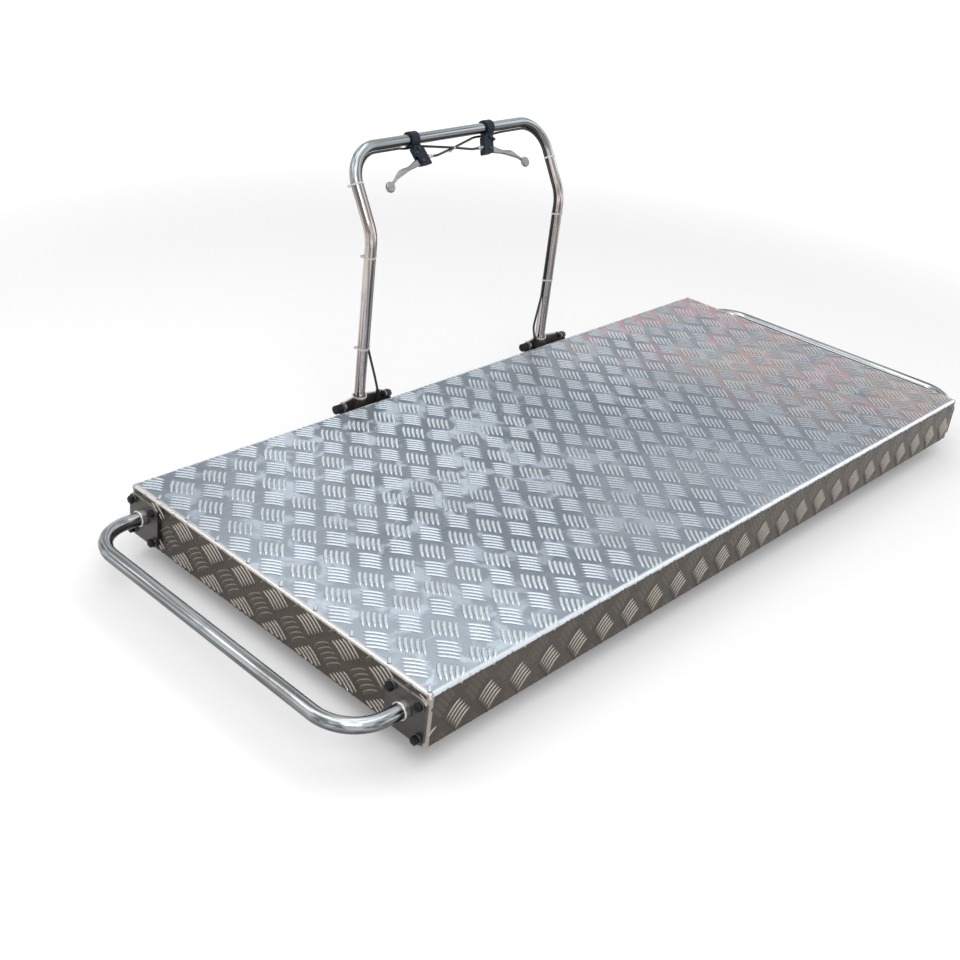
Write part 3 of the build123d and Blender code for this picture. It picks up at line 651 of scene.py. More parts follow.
# painted highlight tones for the crests of the bars on the top, and painted shade for their feet
BAR_HIGHLIGHT_WHITE = (0.72, 0.78, 0.83, 1)
BAR_GREY = (0.480, 0.528, 0.560, 1)
BAR_WARM = (0.600, 0.525, 0.515, 1)
BODY_PALE = (0.44, 0.49, 0.54, 1)
BODY_GREY = (0.30, 0.33, 0.36, 1)
BAR_FOOT_SHADE = (0.100, 0.116, 0.140, 1)
# painted highlight tones for the skirt bars' upper flanks, and painted shade for their lower flanks
SKIRT_BAR_HIGHLIGHT = (0.50, 0.46, 0.41, 1)
SKIRT_FAINT = (0.095, 0.083, 0.071, 1)
END_FAINT = (0.24, 0.22, 0.19, 1)
SKIRT_FLANK_SHADE = (0.036, 0.032, 0.027, 1)
LIGHT_FROM = (0.80, 0.45)

tread_crest, tree, shader = new_material("tread_crest")
place, normal = surface(tree)
xyz = split(place)
facing = split(normal)
rise = add_node(tree, "ShaderNodeAttribute", attribute_name="rise").outputs["Fac"]
faint = add_node(tree, "ShaderNodeAttribute", attribute_name="faint").outputs["Fac"]
fine = noise(place, 260.0, 2.0)

# on the top: rubbed crests with a painted highlight, white at the front left and greyer behind, and warm ones
# at the right end
# the painted highlight dims towards the right and the rear, with random tone over it
painted_dimming = between(noise(place, 6.0, 5.0), 0.35, 0.65, -0.25, 0.25)
painted_dimming = plus(between(xyz[0], -0.80, 0.15), painted_dimming)
rear = times(between(xyz[1], -0.10, 0.30), between(xyz[0], -0.80, -0.50, 0.45, -0.45))
painted_dimming = plus(painted_dimming, rear)
crest_highlight = mix(painted_dimming, BAR_HIGHLIGHT_WHITE, BAR_GREY)
crest_highlight = mix(between(xyz[0], 0.35, 0.80), crest_highlight, BAR_WARM)
# painted light and shade on the flanks: those facing the far right are lighter, those facing the front left
# darker; the rise stands for the rubbed crest
side = plus(times(facing[0], LIGHT_FROM[0]), times(facing[1], LIGHT_FROM[1]))
worn = plus(times(rise, 0.80), times(side, 0.40))
worn = plus(worn, times(minus(fine, 0.5), 0.2))
body = mix(painted_dimming, BODY_PALE, BODY_GREY)
top_bar = mix(between(worn, 0.10, 0.44), BAR_FOOT_SHADE, body)
top_bar = mix(between(worn, 0.52, 0.84), top_bar, crest_highlight)

# on the skirts: one kind stands out and the other is faint; each has a painted highlight on its upper flank
# and painted shade on its lower flank
on_end = past(xyz[0], HALF_LENGTH, 0.0010, 0.0005)
painted_highlight = mix(faint, SKIRT_BAR_HIGHLIGHT, mix(on_end, SKIRT_FAINT, END_FAINT))
lower = times(between(facing[2], -0.12, -0.42), minus(1.0, times(faint, 0.7)))
plain = mix(lower, SKIRT_SHADED_PALE, SKIRT_FLANK_SHADE)
skirt_bar = mix(between(facing[2], 0.14, 0.38), plain, painted_highlight)
on_top = between(xyz[2], DECK_TOP - 0.006, DECK_TOP - 0.001)
fill(shader, {
    "Base Color": mix(on_top, skirt_bar, top_bar),
    "Metallic": 1.0,
    "Roughness": between(fine, 0.3, 0.7, 0.22, 0.38),
})

EDGE_ROOM = 0.0004
BEND_ROOM = 0.0062
END_ROOM = 0.0012
bar = tread_bar()
strip_high = (HALF_LENGTH - BEND_ROOM, UNFOLDED - EDGE_ROOM)
strip_low = (-strip_high[0], -strip_high[1])
places, kinds, spans = bar_places(CELL_LENGTH, CELL_WIDTH, TOP_PHASE, strip_low, strip_high, strip_covered)
mesh = set_shapes("tread_bars_top", bar, places, tread_crest, marks=kinds)
fold_strip(mesh, cut_bars(mesh, places, spans), kinds)
new_piece("tread_bars_top", mesh, None, "chassis")

PLATE_COVER = 0.038
PLATE_Y = 0.330
PLATE_LOW = 0.035
PLATE_HIGH = 0.115


def end_covered(across, down):
    """Whether a point of an end skirt, by its place across and its drop, lies under a plate."""
    return abs(abs(across) - PLATE_Y) < PLATE_COVER and PLATE_LOW < DECK_TOP - down < PLATE_HIGH


end_high = (HALF_WIDTH - BEND_RADIUS, SKIRT_HEIGHT - EDGE_ROOM)
end_low = (-end_high[0], BEND_RADIUS + END_ROOM)
places, kinds, spans = bar_places(CELL_WIDTH, END_CELL_DROP, END_PHASE, end_low, end_high, end_covered)
places = [(point, facing, turn + math.pi) for point, facing, turn in places]
for side, name in ((-1, "left"), (1, "right")):
    mesh = set_shapes("tread_bars_" + name, bar, places, tread_crest, marks=kinds)
    across, down, rise = cut_bars(mesh, places, spans, -1)
    wrapped = np.column_stack([side * (HALF_LENGTH + rise), side * across, DECK_TOP - down])
    mesh.vertices.foreach_set("co", wrapped.ravel())
    mesh.flip_normals()
    mesh.update()
    new_piece("tread_bars_" + name, mesh, None, "chassis")
bpy.data.meshes.remove(bar)

# Corner welds
# The pan's four corners are closed with a short run of weld, ground back but still lumpy at the top,
# and the frame tubes meet in plain fillet welds with the ripple of a hand torch.
WELD_Z = 0.1205
WELD_INSET = 0.0012
WELD_LEAN = 0.25
RAIL_FACE = 0.3295
BEAM_HALF = 0.020
SEAM_Z = 0.103
BEAM_PLACES = (-0.827, -0.655, -0.285, 0.0, 0.285, 0.655, 0.827)
OPEN_HALF = 0.84
# length, radius, rings, lumpiness, seed
CORNER_SEAM = (0.013, 0.0026, 7, 0.9, 3)
FRAME_SEAM = (0.034, 0.0028, 15, 0.35, 5)
WELD_PALE = (0.74, 0.74, 0.73, 1)
WELD_DEEP = (0.40, 0.39, 0.38, 1)
ROUND_SIDES = 6


def tube_faces(rings):
    """The faces of a thin tube made of rings of points, closed at both ends."""
    faces = []
    for ring in range(rings - 1):
        low, high = ring * ROUND_SIDES, (ring + 1) * ROUND_SIDES
        for side in range(ROUND_SIDES):
            after = (side + 1) % ROUND_SIDES
            faces.append((low + side, low + after, high + after, high + side))
    last = (rings - 1) * ROUND_SIDES
    return faces + [tuple(range(ROUND_SIDES)), tuple(range(last, last + ROUND_SIDES))]


def weld_seam(length, radius, rings, lumpy, seed):
    """A bead of weld along Z, its middle at the origin, with a ripple and uneven width."""
    random.seed(seed)
    points = []
    for ring in range(rings):
        along = ring / (rings - 1)
        ripple = 1 + lumpy * (random.random() - 0.5) + 0.18 * (ring % 2)
        end = min(1.0, 3.5 * along + 0.15, 3.5 * (1 - along) + 0.15)
        width = radius * ripple * end
        for side in range(ROUND_SIDES):
            angle = 2 * math.pi * side / ROUND_SIDES
            points.append((width * math.cos(angle), width * math.sin(angle), length * (along - 0.5)))
    return shape_mesh("weld_seam", points, tube_faces(rings))


def add_shapes(name, shape, places, material, body, uneven=0.0):
    """A piece made of copies of one shape."""
    new_piece(name, set_shapes(name, shape, places, material, uneven), None, body)


weld_metal = metal_surface("weld_metal", WELD_PALE, WELD_DEEP, (1, 1, 0.2), 300.0, 0.40, 0.15)
inset = BEND_RADIUS * (1 - math.sqrt(0.5)) + WELD_INSET
corner_places = [
    ((x * (HALF_LENGTH - inset), y * (HALF_WIDTH - inset), WELD_Z), (x * WELD_LEAN, y * WELD_LEAN, 1.0), 0.0)
    for x in (-1, 1)
    for y in (-1, 1)
]
corner_seam = weld_seam(*CORNER_SEAM)
add_shapes("corner_welds", corner_seam, corner_places, weld_metal, "chassis", 1.0)
seam_places = [
    ((x + side * BEAM_HALF, y * RAIL_FACE, SEAM_Z), (0, 0, 1), 0.0)
    for x in BEAM_PLACES
    for side in (-1, 1)
    for y in (-1, 1)
    if abs(x + side * BEAM_HALF) < OPEN_HALF
]
frame_seam = weld_seam(*FRAME_SEAM)
add_shapes("frame_welds", frame_seam, seam_places, weld_metal, "chassis", 3.0)

# Wheelsets
# Cast wheels pressed on bright round bar. The tread and the flange's throat are rolled to a shine by
# the rails, the web keeps dark primer with rust bleeding through, and a spring ring holds each wheel.
AXLE_Y = 0.255
AXLE_Z = 0.050
TREAD_RADIUS = 0.050
WHEEL_INNER = 0.694
WHEEL_OUTER = 0.760
RING_BORE = 0.0125
RING_RADIUS = 0.0165
RING_GAP = 0.0001
RUST = (0.16, 0.068, 0.030, 1)
PRIMER_PALE = (0.095, 0.097, 0.10, 1)
PRIMER_DEEP = (0.055, 0.057, 0.060, 1)
ROLLED_PALE = (0.60, 0.595, 0.59, 1)
ROLLED_DEEP = (0.38, 0.375, 0.37, 1)
AXLE_PALE = (0.46, 0.455, 0.445, 1)
AXLE_DEEP = (0.27, 0.25, 0.23, 1)
SPRING_PALE = (0.24, 0.24, 0.245, 1)
SPRING_DEEP = (0.13, 0.13, 0.132, 1)


def turned_mesh(name, profile, sides=24, smooth=True):
    """A shape turned about Z from (radius, height) points, closed where the radius is 0."""
    points = []
    rows = []
    for radius, height in profile:
        count = sides if radius else 1
        rows.append(range(len(points), len(points) + count))
        for side in range(count):
            angle = 2 * math.pi * side / sides
            points.append((radius * math.cos(angle), radius * math.sin(angle), height))
    faces = []
    for low, high in zip(rows, rows[1:]):
        for side in range(sides):
            after = (side + 1) % sides
            corners = ((low, side), (low, after), (high, after), (high, side))
            faces.append(tuple(dict.fromkeys(row[corner % len(row)] for row, corner in corners)))
    return shape_mesh(name, points, [face for face in faces if len(face) > 2], smooth)


def wheel_finish(name, y):
    """Rolled tread and primed web about an axle at the given place along the track."""
    material, tree, shader = new_material(name)
    place = surface(tree)[0]
    axle = (0, y, AXLE_Z)
    centred = join_node("ShaderNodeVectorMath", {0: place, 1: axle}, operation="SUBTRACT").outputs[0]
    parts = split(centred)
    radius = calc("SQRT", plus(times(parts[1], parts[1]), times(parts[2], parts[2])))
    sockets = {0: times(radius, 40.0), 1: times(parts[0], 40.0)}
    turned = noise(join_node("ShaderNodeCombineXYZ", sockets).outputs[0], 30.0, 3.0)
    dust = use_pattern(grime, place, Scale=18.0, Amount=0.75)
    primer = mix(between(turned, 0.3, 0.7), PRIMER_DEEP, PRIMER_PALE)
    primer = cover(primer, RUST, dust[0], 0.75)
    primer = cover(primer, DUST_COLOUR, dust[1], 0.35)
    rolled = mix(between(turned, 0.3, 0.7), ROLLED_DEEP, ROLLED_PALE)
    on_tread = between(radius, TREAD_RADIUS - 0.0032, TREAD_RADIUS - 0.0020)
    beside = between(calc("ABSOLUTE", parts[0]), WHEEL_INNER + 0.010, WHEEL_INNER + 0.013)
    shiny = times(on_tread, beside)
    fill(shader, {
        "Base Color": mix(shiny, primer, rolled),
        "Metallic": shiny,
        "Roughness": minus(0.62, times(shiny, 0.36)),
        "Normal": relief(0.3, 0.0008, turned),
    })
    return material


axle_metal = metal_surface("axle_metal", AXLE_PALE, AXLE_DEEP, (0.04, 1, 1), 300.0, 0.28, 0.45)
spring_metal = metal_surface("spring_metal", SPRING_PALE, SPRING_DEEP, (1, 1, 1), 300.0, 0.35, 0.2)
ring_profile = (
    (RING_BORE, 0.0),
    (RING_RADIUS, 0.0),
    (RING_RADIUS, 0.0013),
    (0.0142, 0.0018),
    (RING_BORE, 0.0018),
    (RING_BORE, 0.0),
)
ring = turned_mesh("spring_ring", ring_profile, 32)
for name, side in (("front", -1), ("rear", 1)):
    finish = wheel_finish(name + "_wheel_metal", side * AXLE_Y)
    for end in ("left", "right"):
        paint_node(f"wheel_{name}_{end}", finish)
    paint_node("axle_" + name, axle_metal)
    places = [((x * (WHEEL_OUTER + RING_GAP), side * AXLE_Y, AXLE_Z), (x, 0, 0), 0.4) for x in (-1, 1)]
    add_shapes("axle_rings_" + name, ring, places, spring_metal, "wheelset_" + name)

# Bearing blocks
# Painted castings hung under the bearing beams by two hexagon bolts each, with a grease nipple on
# the inner face. Dust lies on the paint in patches, with small spots of rust.
BLOCK_X = 0.655
BLOCK_HALF = 0.016
BOLT_Y = 0.043
FOOT_FACE = 0.073
NIPPLE_RISE = 0.020
# a washer by its radius, its bore's radius and its thickness, a bolt by its width and height
BLOCK_WASHER = (0.0105, 0.005, 0.0019)
BLOCK_BOLT = (0.0196, 0.0068)
SEATED = 0.0001
CAST_PALE = (0.100, 0.104, 0.110, 1)
CAST_DEEP = (0.070, 0.074, 0.080, 1)
ZINC_PALE = (0.58, 0.575, 0.55, 1)
ZINC_DEEP = (0.40, 0.395, 0.375, 1)

cast_paint, tree, shader = new_material("cast_paint")
place = surface(tree)[0]
grain = noise(place, 420.0, 4.0)
dust = use_pattern(grime, place, Scale=22.0, Amount=0.6)
paint = mix(between(grain, 0.3, 0.7), CAST_DEEP, CAST_PALE)
paint = cover(paint, DUST_COLOUR, dust[0], 0.55)
paint = cover(paint, RUST, dust[1], 0.30)
fill(shader, {
    "Base Color": paint,
    "Roughness": between(dust[0], 0.0, 1.0, 0.42, 0.72),
    "Normal": relief(0.35, 0.0012, grain),
})
zinc_metal = metal_surface("zinc_metal", ZINC_PALE, ZINC_DEEP, (1, 1, 1), 260.0, 0.30, 0.25)


def bolt_head(size, height):
    """A hexagon head with a turned-down crown, as wide across its corners as size."""
    radius = size / 2
    profile = [(0, 0), (radius, 0), (radius, 0.82 * height), (0.88 * radius, height), (0, height)]
    return turned_mesh("bolt_head", profile, 6, False)


def washer(outer, inner, thick):
    """A flat washer with broken edges."""
    lip = 0.2 * thick
    profile = [(inner, 0), (outer, 0), (outer, thick - lip), (outer - lip, thick), (inner, thick), (inner, 0)]
    return turned_mesh("washer", profile, 28, False)


def pushed_out(places, thick):
    """The same places, moved a little the way that they face."""
    return [
        (tuple(part + thick * way for part, way in zip(point, facing)), facing, turn)
        for point, facing, turn in places
    ]


for name in ("front_left", "front_right", "rear_left", "rear_right"):
    paint_node("bearing_block_" + name, cast_paint)
block_bolts = [
    ((x * BLOCK_X, y * AXLE_Y + side * BOLT_Y, FOOT_FACE), (0, 0, -1), 0.0)
    for x in (-1, 1)
    for y in (-1, 1)
    for side in (-1, 1)
]
add_shapes("block_washers", washer(*BLOCK_WASHER), block_bolts, zinc_metal, "chassis")
seats = pushed_out(block_bolts, BLOCK_WASHER[2] - SEATED)
add_shapes("block_bolts", bolt_head(*BLOCK_BOLT), seats, zinc_metal, "chassis", 0.5)
nipple_profile = (
    (0, -0.001),
    (0.0042, -0.001),
    (0.0042, 0.004),
    (0.0026, 0.0048),
    (0.0026, 0.007),
    (0.0034, 0.0085),
    (0.0024, 0.0108),
    (0, 0.011),
)
nipple = turned_mesh("nipple", nipple_profile, 12)
nipple_places = [
    ((x * (BLOCK_X - BLOCK_HALF), y * AXLE_Y, AXLE_Z + NIPPLE_RISE), (-x, 0, 0), 0.0)
    for x in (-1, 1)
    for y in (-1, 1)
]
add_shapes("grease_nipples", nipple, nipple_places, zinc_metal, "chassis")

# Drum brakes
# A cast drum turns with the rear axle beside a zinc-plated backplate that is bolted to the foot beam.
# The wire ends in a small barrel on the cam arm, and a coil spring round the wire pushes the arm back.
BACKPLATE_X = 0.243
ARM_HALF = 0.002
CAM_POINT = (0.285, 0.074)
ARM_POINT = (0.293, 0.044)
HOLDER_BOLT_Y = 0.008
HOLDER_BOLT_Z = 0.1035
HOLDER_BOLT = (0.0115, 0.0036)
CAM_NUT = (0.0150, 0.0050)
BARREL_SUNK = 0.0045
SPRING_START = 0.2992
SPRING_END = 0.3090
SPRING_RADIUS = 0.0030
SPRING_WIRE = 0.00055
SPRING_TURNS = 5
SPRING_STEPS = 14

for name in ("left", "right"):
    paint_node("brake_drum_" + name, cast_paint)
    paint_node("brake_backplate_" + name, zinc_metal)
    paint_node("brake_arm_" + name, zinc_metal)
arm_face = CABLE_X + ARM_HALF
cam_places = [((x * arm_face, *CAM_POINT), (x, 0, 0), 0.3) for x in (-1, 1)]
add_shapes("cam_nuts", bolt_head(*CAM_NUT), cam_places, zinc_metal, "chassis")
barrel_places = [((x * (arm_face - BARREL_SUNK), *ARM_POINT), (x, 0, 0), 0.0) for x in (-1, 1)]
barrel_profile = ((0, 0), (0.0036, 0), (0.0036, 0.0078), (0.0030, 0.0084), (0, 0.0084))
barrel = turned_mesh("wire_barrel", barrel_profile, 16)
add_shapes("wire_barrels", barrel, barrel_places, zinc_metal, "chassis")
holder_places = [
    ((x * BACKPLATE_X, AXLE_Y + side * HOLDER_BOLT_Y, HOLDER_BOLT_Z), (-x, 0, 0), 0.0)
    for x in (-1, 1)
    for side in (-1, 1)
]
add_shapes("holder_bolts", bolt_head(*HOLDER_BOLT), holder_places, zinc_metal, "chassis", 0.5)


def coil_spring(name, length, radius, wire):
    """A coil spring along Z from the origin, with flat closed ends."""
    rings = SPRING_TURNS * SPRING_STEPS + 1
    points = []
    for ring in range(rings):
        turn = 2 * math.pi * ring / SPRING_STEPS
        height = wire + (length - 2 * wire) * ring / (rings - 1)
        for side in range(ROUND_SIDES):
            angle = 2 * math.pi * side / ROUND_SIDES
            out = radius + wire * math.cos(angle)
            points.append((out * math.cos(turn), out * math.sin(turn), height + wire * math.sin(angle)))
    return shape_mesh(name, points, tube_faces(rings))


spring_places = [((x * CABLE_X, SPRING_START, ARM_POINT[1]), (0, 1, 0), 0.0) for x in (-1, 1)]
spring = coil_spring("return_spring", SPRING_END - SPRING_START, SPRING_RADIUS, SPRING_WIRE)
add_shapes("return_springs", spring, spring_places, spring_metal, "chassis")

# End plates
# Brushed aluminium plates with rounded corners, each held on the end skirt by four bolts in a square.
# Every bolt has a bright washer and a black moulded cap over its head, as at the corners in view.
PLATE_FACE = 0.855
PLATE_MIDDLE = 0.075
BOLT_SPREAD = 0.030
PLATE_WASHER = (0.0084, 0.004, 0.0015)
PLATE_PALE = (0.112, 0.106, 0.100, 1)
PLATE_DEEP = (0.064, 0.061, 0.058, 1)
# bare metal at the sockets, and a painted highlight on the plates' upward faces
BARE_AND_LIT_EDGE = (0.52, 0.515, 0.505, 1)
BLACK_PALE = (0.012, 0.0135, 0.0165, 1)
BLACK_DEEP = (0.006, 0.007, 0.009, 1)

plate_metal = metal_surface("plate_metal", PLATE_PALE, PLATE_DEEP, (1, 0.03, 1), 380.0, 0.34, 0.3)
tree = plate_metal.node_tree
shader = tree.nodes["Principled BSDF"]
place, normal = surface(tree)
up = split(normal)[2]
out = calc("ABSOLUTE", split(place)[0])
# the parts standing out beyond the plate's face are bare bright metal, and its upward faces carry a painted
# highlight
bare_and_lit = between(out, PLATE_FACE + 0.0006, PLATE_FACE + 0.0014)
bare_and_lit = calc("MAXIMUM", between(up, 0.45, 0.75), bare_and_lit)
colour = shader.inputs["Base Color"].links[0].from_socket
fill(shader, {"Base Color": mix(bare_and_lit, colour, BARE_AND_LIT_EDGE)})


def moulding(name, pale, deep):
    """Black moulded plastic: a fine mould grain, and dust in its corners."""
    material, tree, shader = new_material(name)
    place = surface(tree)[0]
    grain = noise(place, 900.0, 3.0)
    dust = use_pattern(grime, place, Scale=30.0, Amount=0.35)
    tone = mix(between(grain, 0.3, 0.7), deep, pale)
    fill(shader, {
        "Base Color": cover(tone, DUST_COLOUR, dust[0], 0.2),
        "Specular IOR Level": 0.18,
        "Roughness": between(grain, 0.2, 0.8, 0.36, 0.55),
        "Normal": relief(0.25, 0.0004, grain),
    })
    return material


black_moulding = moulding("black_moulding", BLACK_PALE, BLACK_DEEP)
for y in ("front", "rear"):
    for x in ("left", "right"):
        paint_node(f"end_plate_{y}_{x}", plate_metal)
plate_bolts = [
    ((x * PLATE_FACE, y * PLATE_Y + across * BOLT_SPREAD, PLATE_MIDDLE + up * BOLT_SPREAD), (x, 0, 0), 0.26)
    for x in (-1, 1)
    for y in (-1, 1)
    for across in (-1, 1)
    for up in (-1, 1)
]
add_shapes("plate_washers", washer(*PLATE_WASHER), plate_bolts, spring_metal, "chassis")
cap_profile = (
    (0, 0.0),
    (0.0078, 0.0),
    (0.0078, 0.0056),
    (0.0073, 0.0072),
    (0.0060, 0.0082),
    (0.0034, 0.0087),
    (0, 0.0088),
)
cap = turned_mesh("bolt_cap", cap_profile, 6, False)
capped = pushed_out(plate_bolts, PLATE_WASHER[2])
add_shapes("bolt_caps", cap, capped, black_moulding, "chassis", 0.5)

# Carry bars
# Polished stainless tube, bent at both corners and pushed into the sockets of the end plates, with a
# fine weld round each socket. The steel carries painted reflection bands along it and painted shade,
# darker and warmer, underneath, and is darker where hands smear it.
BAR_Z = 0.082
SOCKET_END = 0.865
STEEL_BRIGHT = (0.44, 0.48, 0.505, 1)
STEEL_COOL = (0.38, 0.43, 0.46, 1)
STEEL_PALE = (0.68, 0.600, 0.565, 1)
STEEL_SHADE = (0.115, 0.108, 0.104, 1)
# painted shade underneath the tubes
STEEL_SHADED_BELOW = (0.070, 0.062, 0.055, 1)
STEEL_SCRATCH = (0.80, 0.81, 0.82, 1)
STREAK_TURNS = 2.0
STREAK_LENGTH = 2.5


def polished_steel(name, light, upper_light, change, shade):
    """Polished tube: painted reflection bands as long streaks that follow it, painted shade underneath, hand
    smears and scratches; the tone changes at a height.
    """
    material, tree, shader = new_material(name)
    place, normal = surface(tree)
    up = split(normal)[2]
    height = split(place)[2]
    # painted reflection bands: streaks that turn with the facing of the surface and run along the tube
    round_it, along_it = [
        join_node("ShaderNodeVectorMath", {0: way, "Scale": scale}, operation="SCALE").outputs[0]
        for way, scale in ((normal, STREAK_TURNS), (place, STREAK_LENGTH))
    ]
    streak_place = join_node("ShaderNodeVectorMath", {0: round_it, 1: along_it}, operation="ADD").outputs[0]
    lines = noise(streak_place, 1.6, 2.5)
    smears = use_pattern(grime, place, Scale=9.0, Amount=0.6)
    worn = use_pattern(scuffs, place, Scale=60.0, Amount=0.5)
    colour = mix(between(height, change - 0.06, change + 0.06), light, upper_light)
    colour = mix(between(lines, 0.38, 0.66, 0.0, 0.95), colour, STEEL_SHADE)
    # painted shade, darker and warmer, on the downward faces
    shaded = between(height, change - 0.06, change + 0.06, shade, 0.9)
    colour = cover(colour, STEEL_SHADED_BELOW, between(up, 0.50, -0.30), shaded)
    colour = cover(colour, STEEL_SHADE, smears[0], 0.35)
    rough = plus(0.14, times(smears[0], 0.10))
    fill(shader, {
        "Base Color": cover(colour, STEEL_SCRATCH, worn[0], 0.4),
        "Metallic": 1.0,
        "Roughness": plus(rough, times(lines, 0.08)),
    })
    return material


bar_steel = polished_steel("bar_steel", STEEL_BRIGHT, STEEL_BRIGHT, 0.5, 0.9)
for name in ("left", "right"):
    paint_node("carry_bar_" + name, bar_steel)
socket_profile = (
    (0.0124, -0.001),
    (0.0146, -0.001),
    (0.0152, 0.0006),
    (0.0140, 0.0020),
    (0.0126, 0.0024),
    (0.0124, -0.001),
)
socket_weld = turned_mesh("socket_weld", socket_profile, 40)
socket_places = [((x * SOCKET_END, y * PLATE_Y, BAR_Z), (x, 0, 0), 0.0) for x in (-1, 1) for y in (-1, 1)]
add_shapes("socket_welds", socket_weld, socket_places, weld_metal, "chassis")

# Hinges and folding feet
# Each leg stands in a socket with two wings, which turn on short bolts between the ears of a base on
# the rear skirt. A ribbed black knob clamps one ear and a plain nut the other.
BASE_FACE = 0.3755
BASE_BOLT_X = 0.036
BASE_BOLT_LOW = 0.0905
BASE_BOLT_STEP = 0.022
BASE_WASHER = (0.0078, 0.004, 0.0014)
BASE_BOLT = (0.0148, 0.0048)
# painted highlight on the feet's upward faces and top edges
FOOT_HIGHLIGHT = (0.76, 0.725, 0.68, 1)
FOOT_GREY = (0.235, 0.223, 0.210, 1)
FOOT_DEEP = (0.175, 0.165, 0.153, 1)
EDGE_LOW = 0.1312
EDGE_HIGH = 0.1350
WING_END = 0.0525
BRACKET_PALE = (0.090, 0.087, 0.083, 1)
BRACKET_DEEP = (0.052, 0.050, 0.048, 1)
BLUED_PALE = (0.075, 0.077, 0.083, 1)
BLUED_DEEP = (0.040, 0.041, 0.045, 1)

foot_metal, tree, shader = new_material("foot_metal")
place, normal = surface(tree)
xyz = split(place)
up = split(normal)[2]
lines = use_pattern(brushed, place, Stretch=(1, 1, 0.05), Fineness=340.0)
dust = use_pattern(grime, place, Scale=30.0, Amount=0.4)
# painted highlight: upward faces and a band along the top edges of the wings are lighter, out to the wings'
# ends
from_leg = calc("ABSOLUTE", minus(calc("ABSOLUTE", xyz[0]), LEG_X))
painted_highlight = calc("MAXIMUM", between(up, 0.45, 0.75), between(xyz[2], EDGE_LOW, EDGE_HIGH))
painted_highlight = times(painted_highlight, between(from_leg, WING_END, WING_END - 0.002))
colour = mix(painted_highlight, mix(lines[0], FOOT_DEEP, FOOT_GREY), FOOT_HIGHLIGHT)
fill(shader, {
    "Base Color": cover(colour, DUST_COLOUR, dust[0], 0.35),
    "Metallic": minus(0.85, times(painted_highlight, 0.55)),
    "Roughness": between(lines[1], 0.0, 1.0, 0.30, 0.45),
    "Normal": relief(0.12, 0.0006, lines[0]),
})
bracket_metal = metal_surface("bracket_metal", BRACKET_PALE, BRACKET_DEEP, (0.03, 1, 1), 380.0, 0.40, 0.3)
blued_metal = metal_surface("blued_metal", BLUED_PALE, BLUED_DEEP, (1, 1, 1), 300.0, 0.38, 0.15)
for name in ("left", "right"):
    paint_node("hinge_bracket_" + name, bracket_metal)
    paint_node("handle_foot_" + name, foot_metal)
    paint_node("pivot_bolts_" + name, blued_metal)
    paint_node("clamp_knob_" + name, black_moulding)
base_places = [
    ((side * LEG_X + across * BASE_BOLT_X, BASE_FACE, BASE_BOLT_LOW + step * BASE_BOLT_STEP), (0, 1, 0), 0.2)
    for side in (-1, 1)
    for step in (0, 1)
    for across in (-1, 1)
]
add_shapes("hinge_washers", washer(*BASE_WASHER), base_places, zinc_metal, "chassis")
seats = pushed_out(base_places, BASE_WASHER[2] - SEATED)
add_shapes("hinge_bolts", bolt_head(*BASE_BOLT), seats, zinc_metal, "chassis", 0.5)

# Push handle
# One length of polished stainless tube, bent twice on each side, standing in the two feet.
leg_steel = polished_steel("leg_steel", STEEL_PALE, STEEL_COOL, 0.55, 0.15)
paint_node("handle_tube", leg_steel)

# Brake levers
# Bicycle levers: a black moulded clamp and head on the cross bar, a polished forged blade on a pin,
# and a bright adjuster where the cable enters. Small screws close the clamp and set the blade's reach.
LEVER_X = 0.111
LEG_Y = 0.4015
LEAN_Z = 0.478
LEAN_LENGTH = 0.170
LEAN = math.radians(30)
LEVER_PIN_AT = (-0.0101, -0.046)
CLAMP_SCREW_AT = (-0.0045, -0.0215)
REACH_SCREW_AT = (0.004, -0.028)
HEAD_HALF = 0.0075
LEVER_PALE = (0.29, 0.29, 0.295, 1)
LEVER_DEEP = (0.165, 0.165, 0.17, 1)
CLAMP_PALE = (0.013, 0.022, 0.034, 1)
CLAMP_DEEP = (0.006, 0.012, 0.020, 1)


def on_lean(x, rise, front=0.0):
    """A point of the handle's leaning part: along the bar, up the lean and out to the front."""
    y = LEG_Y + rise * math.sin(LEAN) - front * math.cos(LEAN)
    z = LEAN_Z + rise * math.cos(LEAN) + front * math.sin(LEAN)
    return (x, y, z)


FRONT_WAY = (0, -math.cos(LEAN), math.sin(LEAN))
BACK_WAY = (0, math.cos(LEAN), -math.sin(LEAN))
UP_WAY = (0, math.sin(LEAN), math.cos(LEAN))


def by_lever(side, out, down, front=0.0):
    """A point beside one lever's clamp: outwards along the bar, down the lean, out to the front."""
    return on_lean(side * (LEVER_X + out), LEAN_LENGTH + down, front)


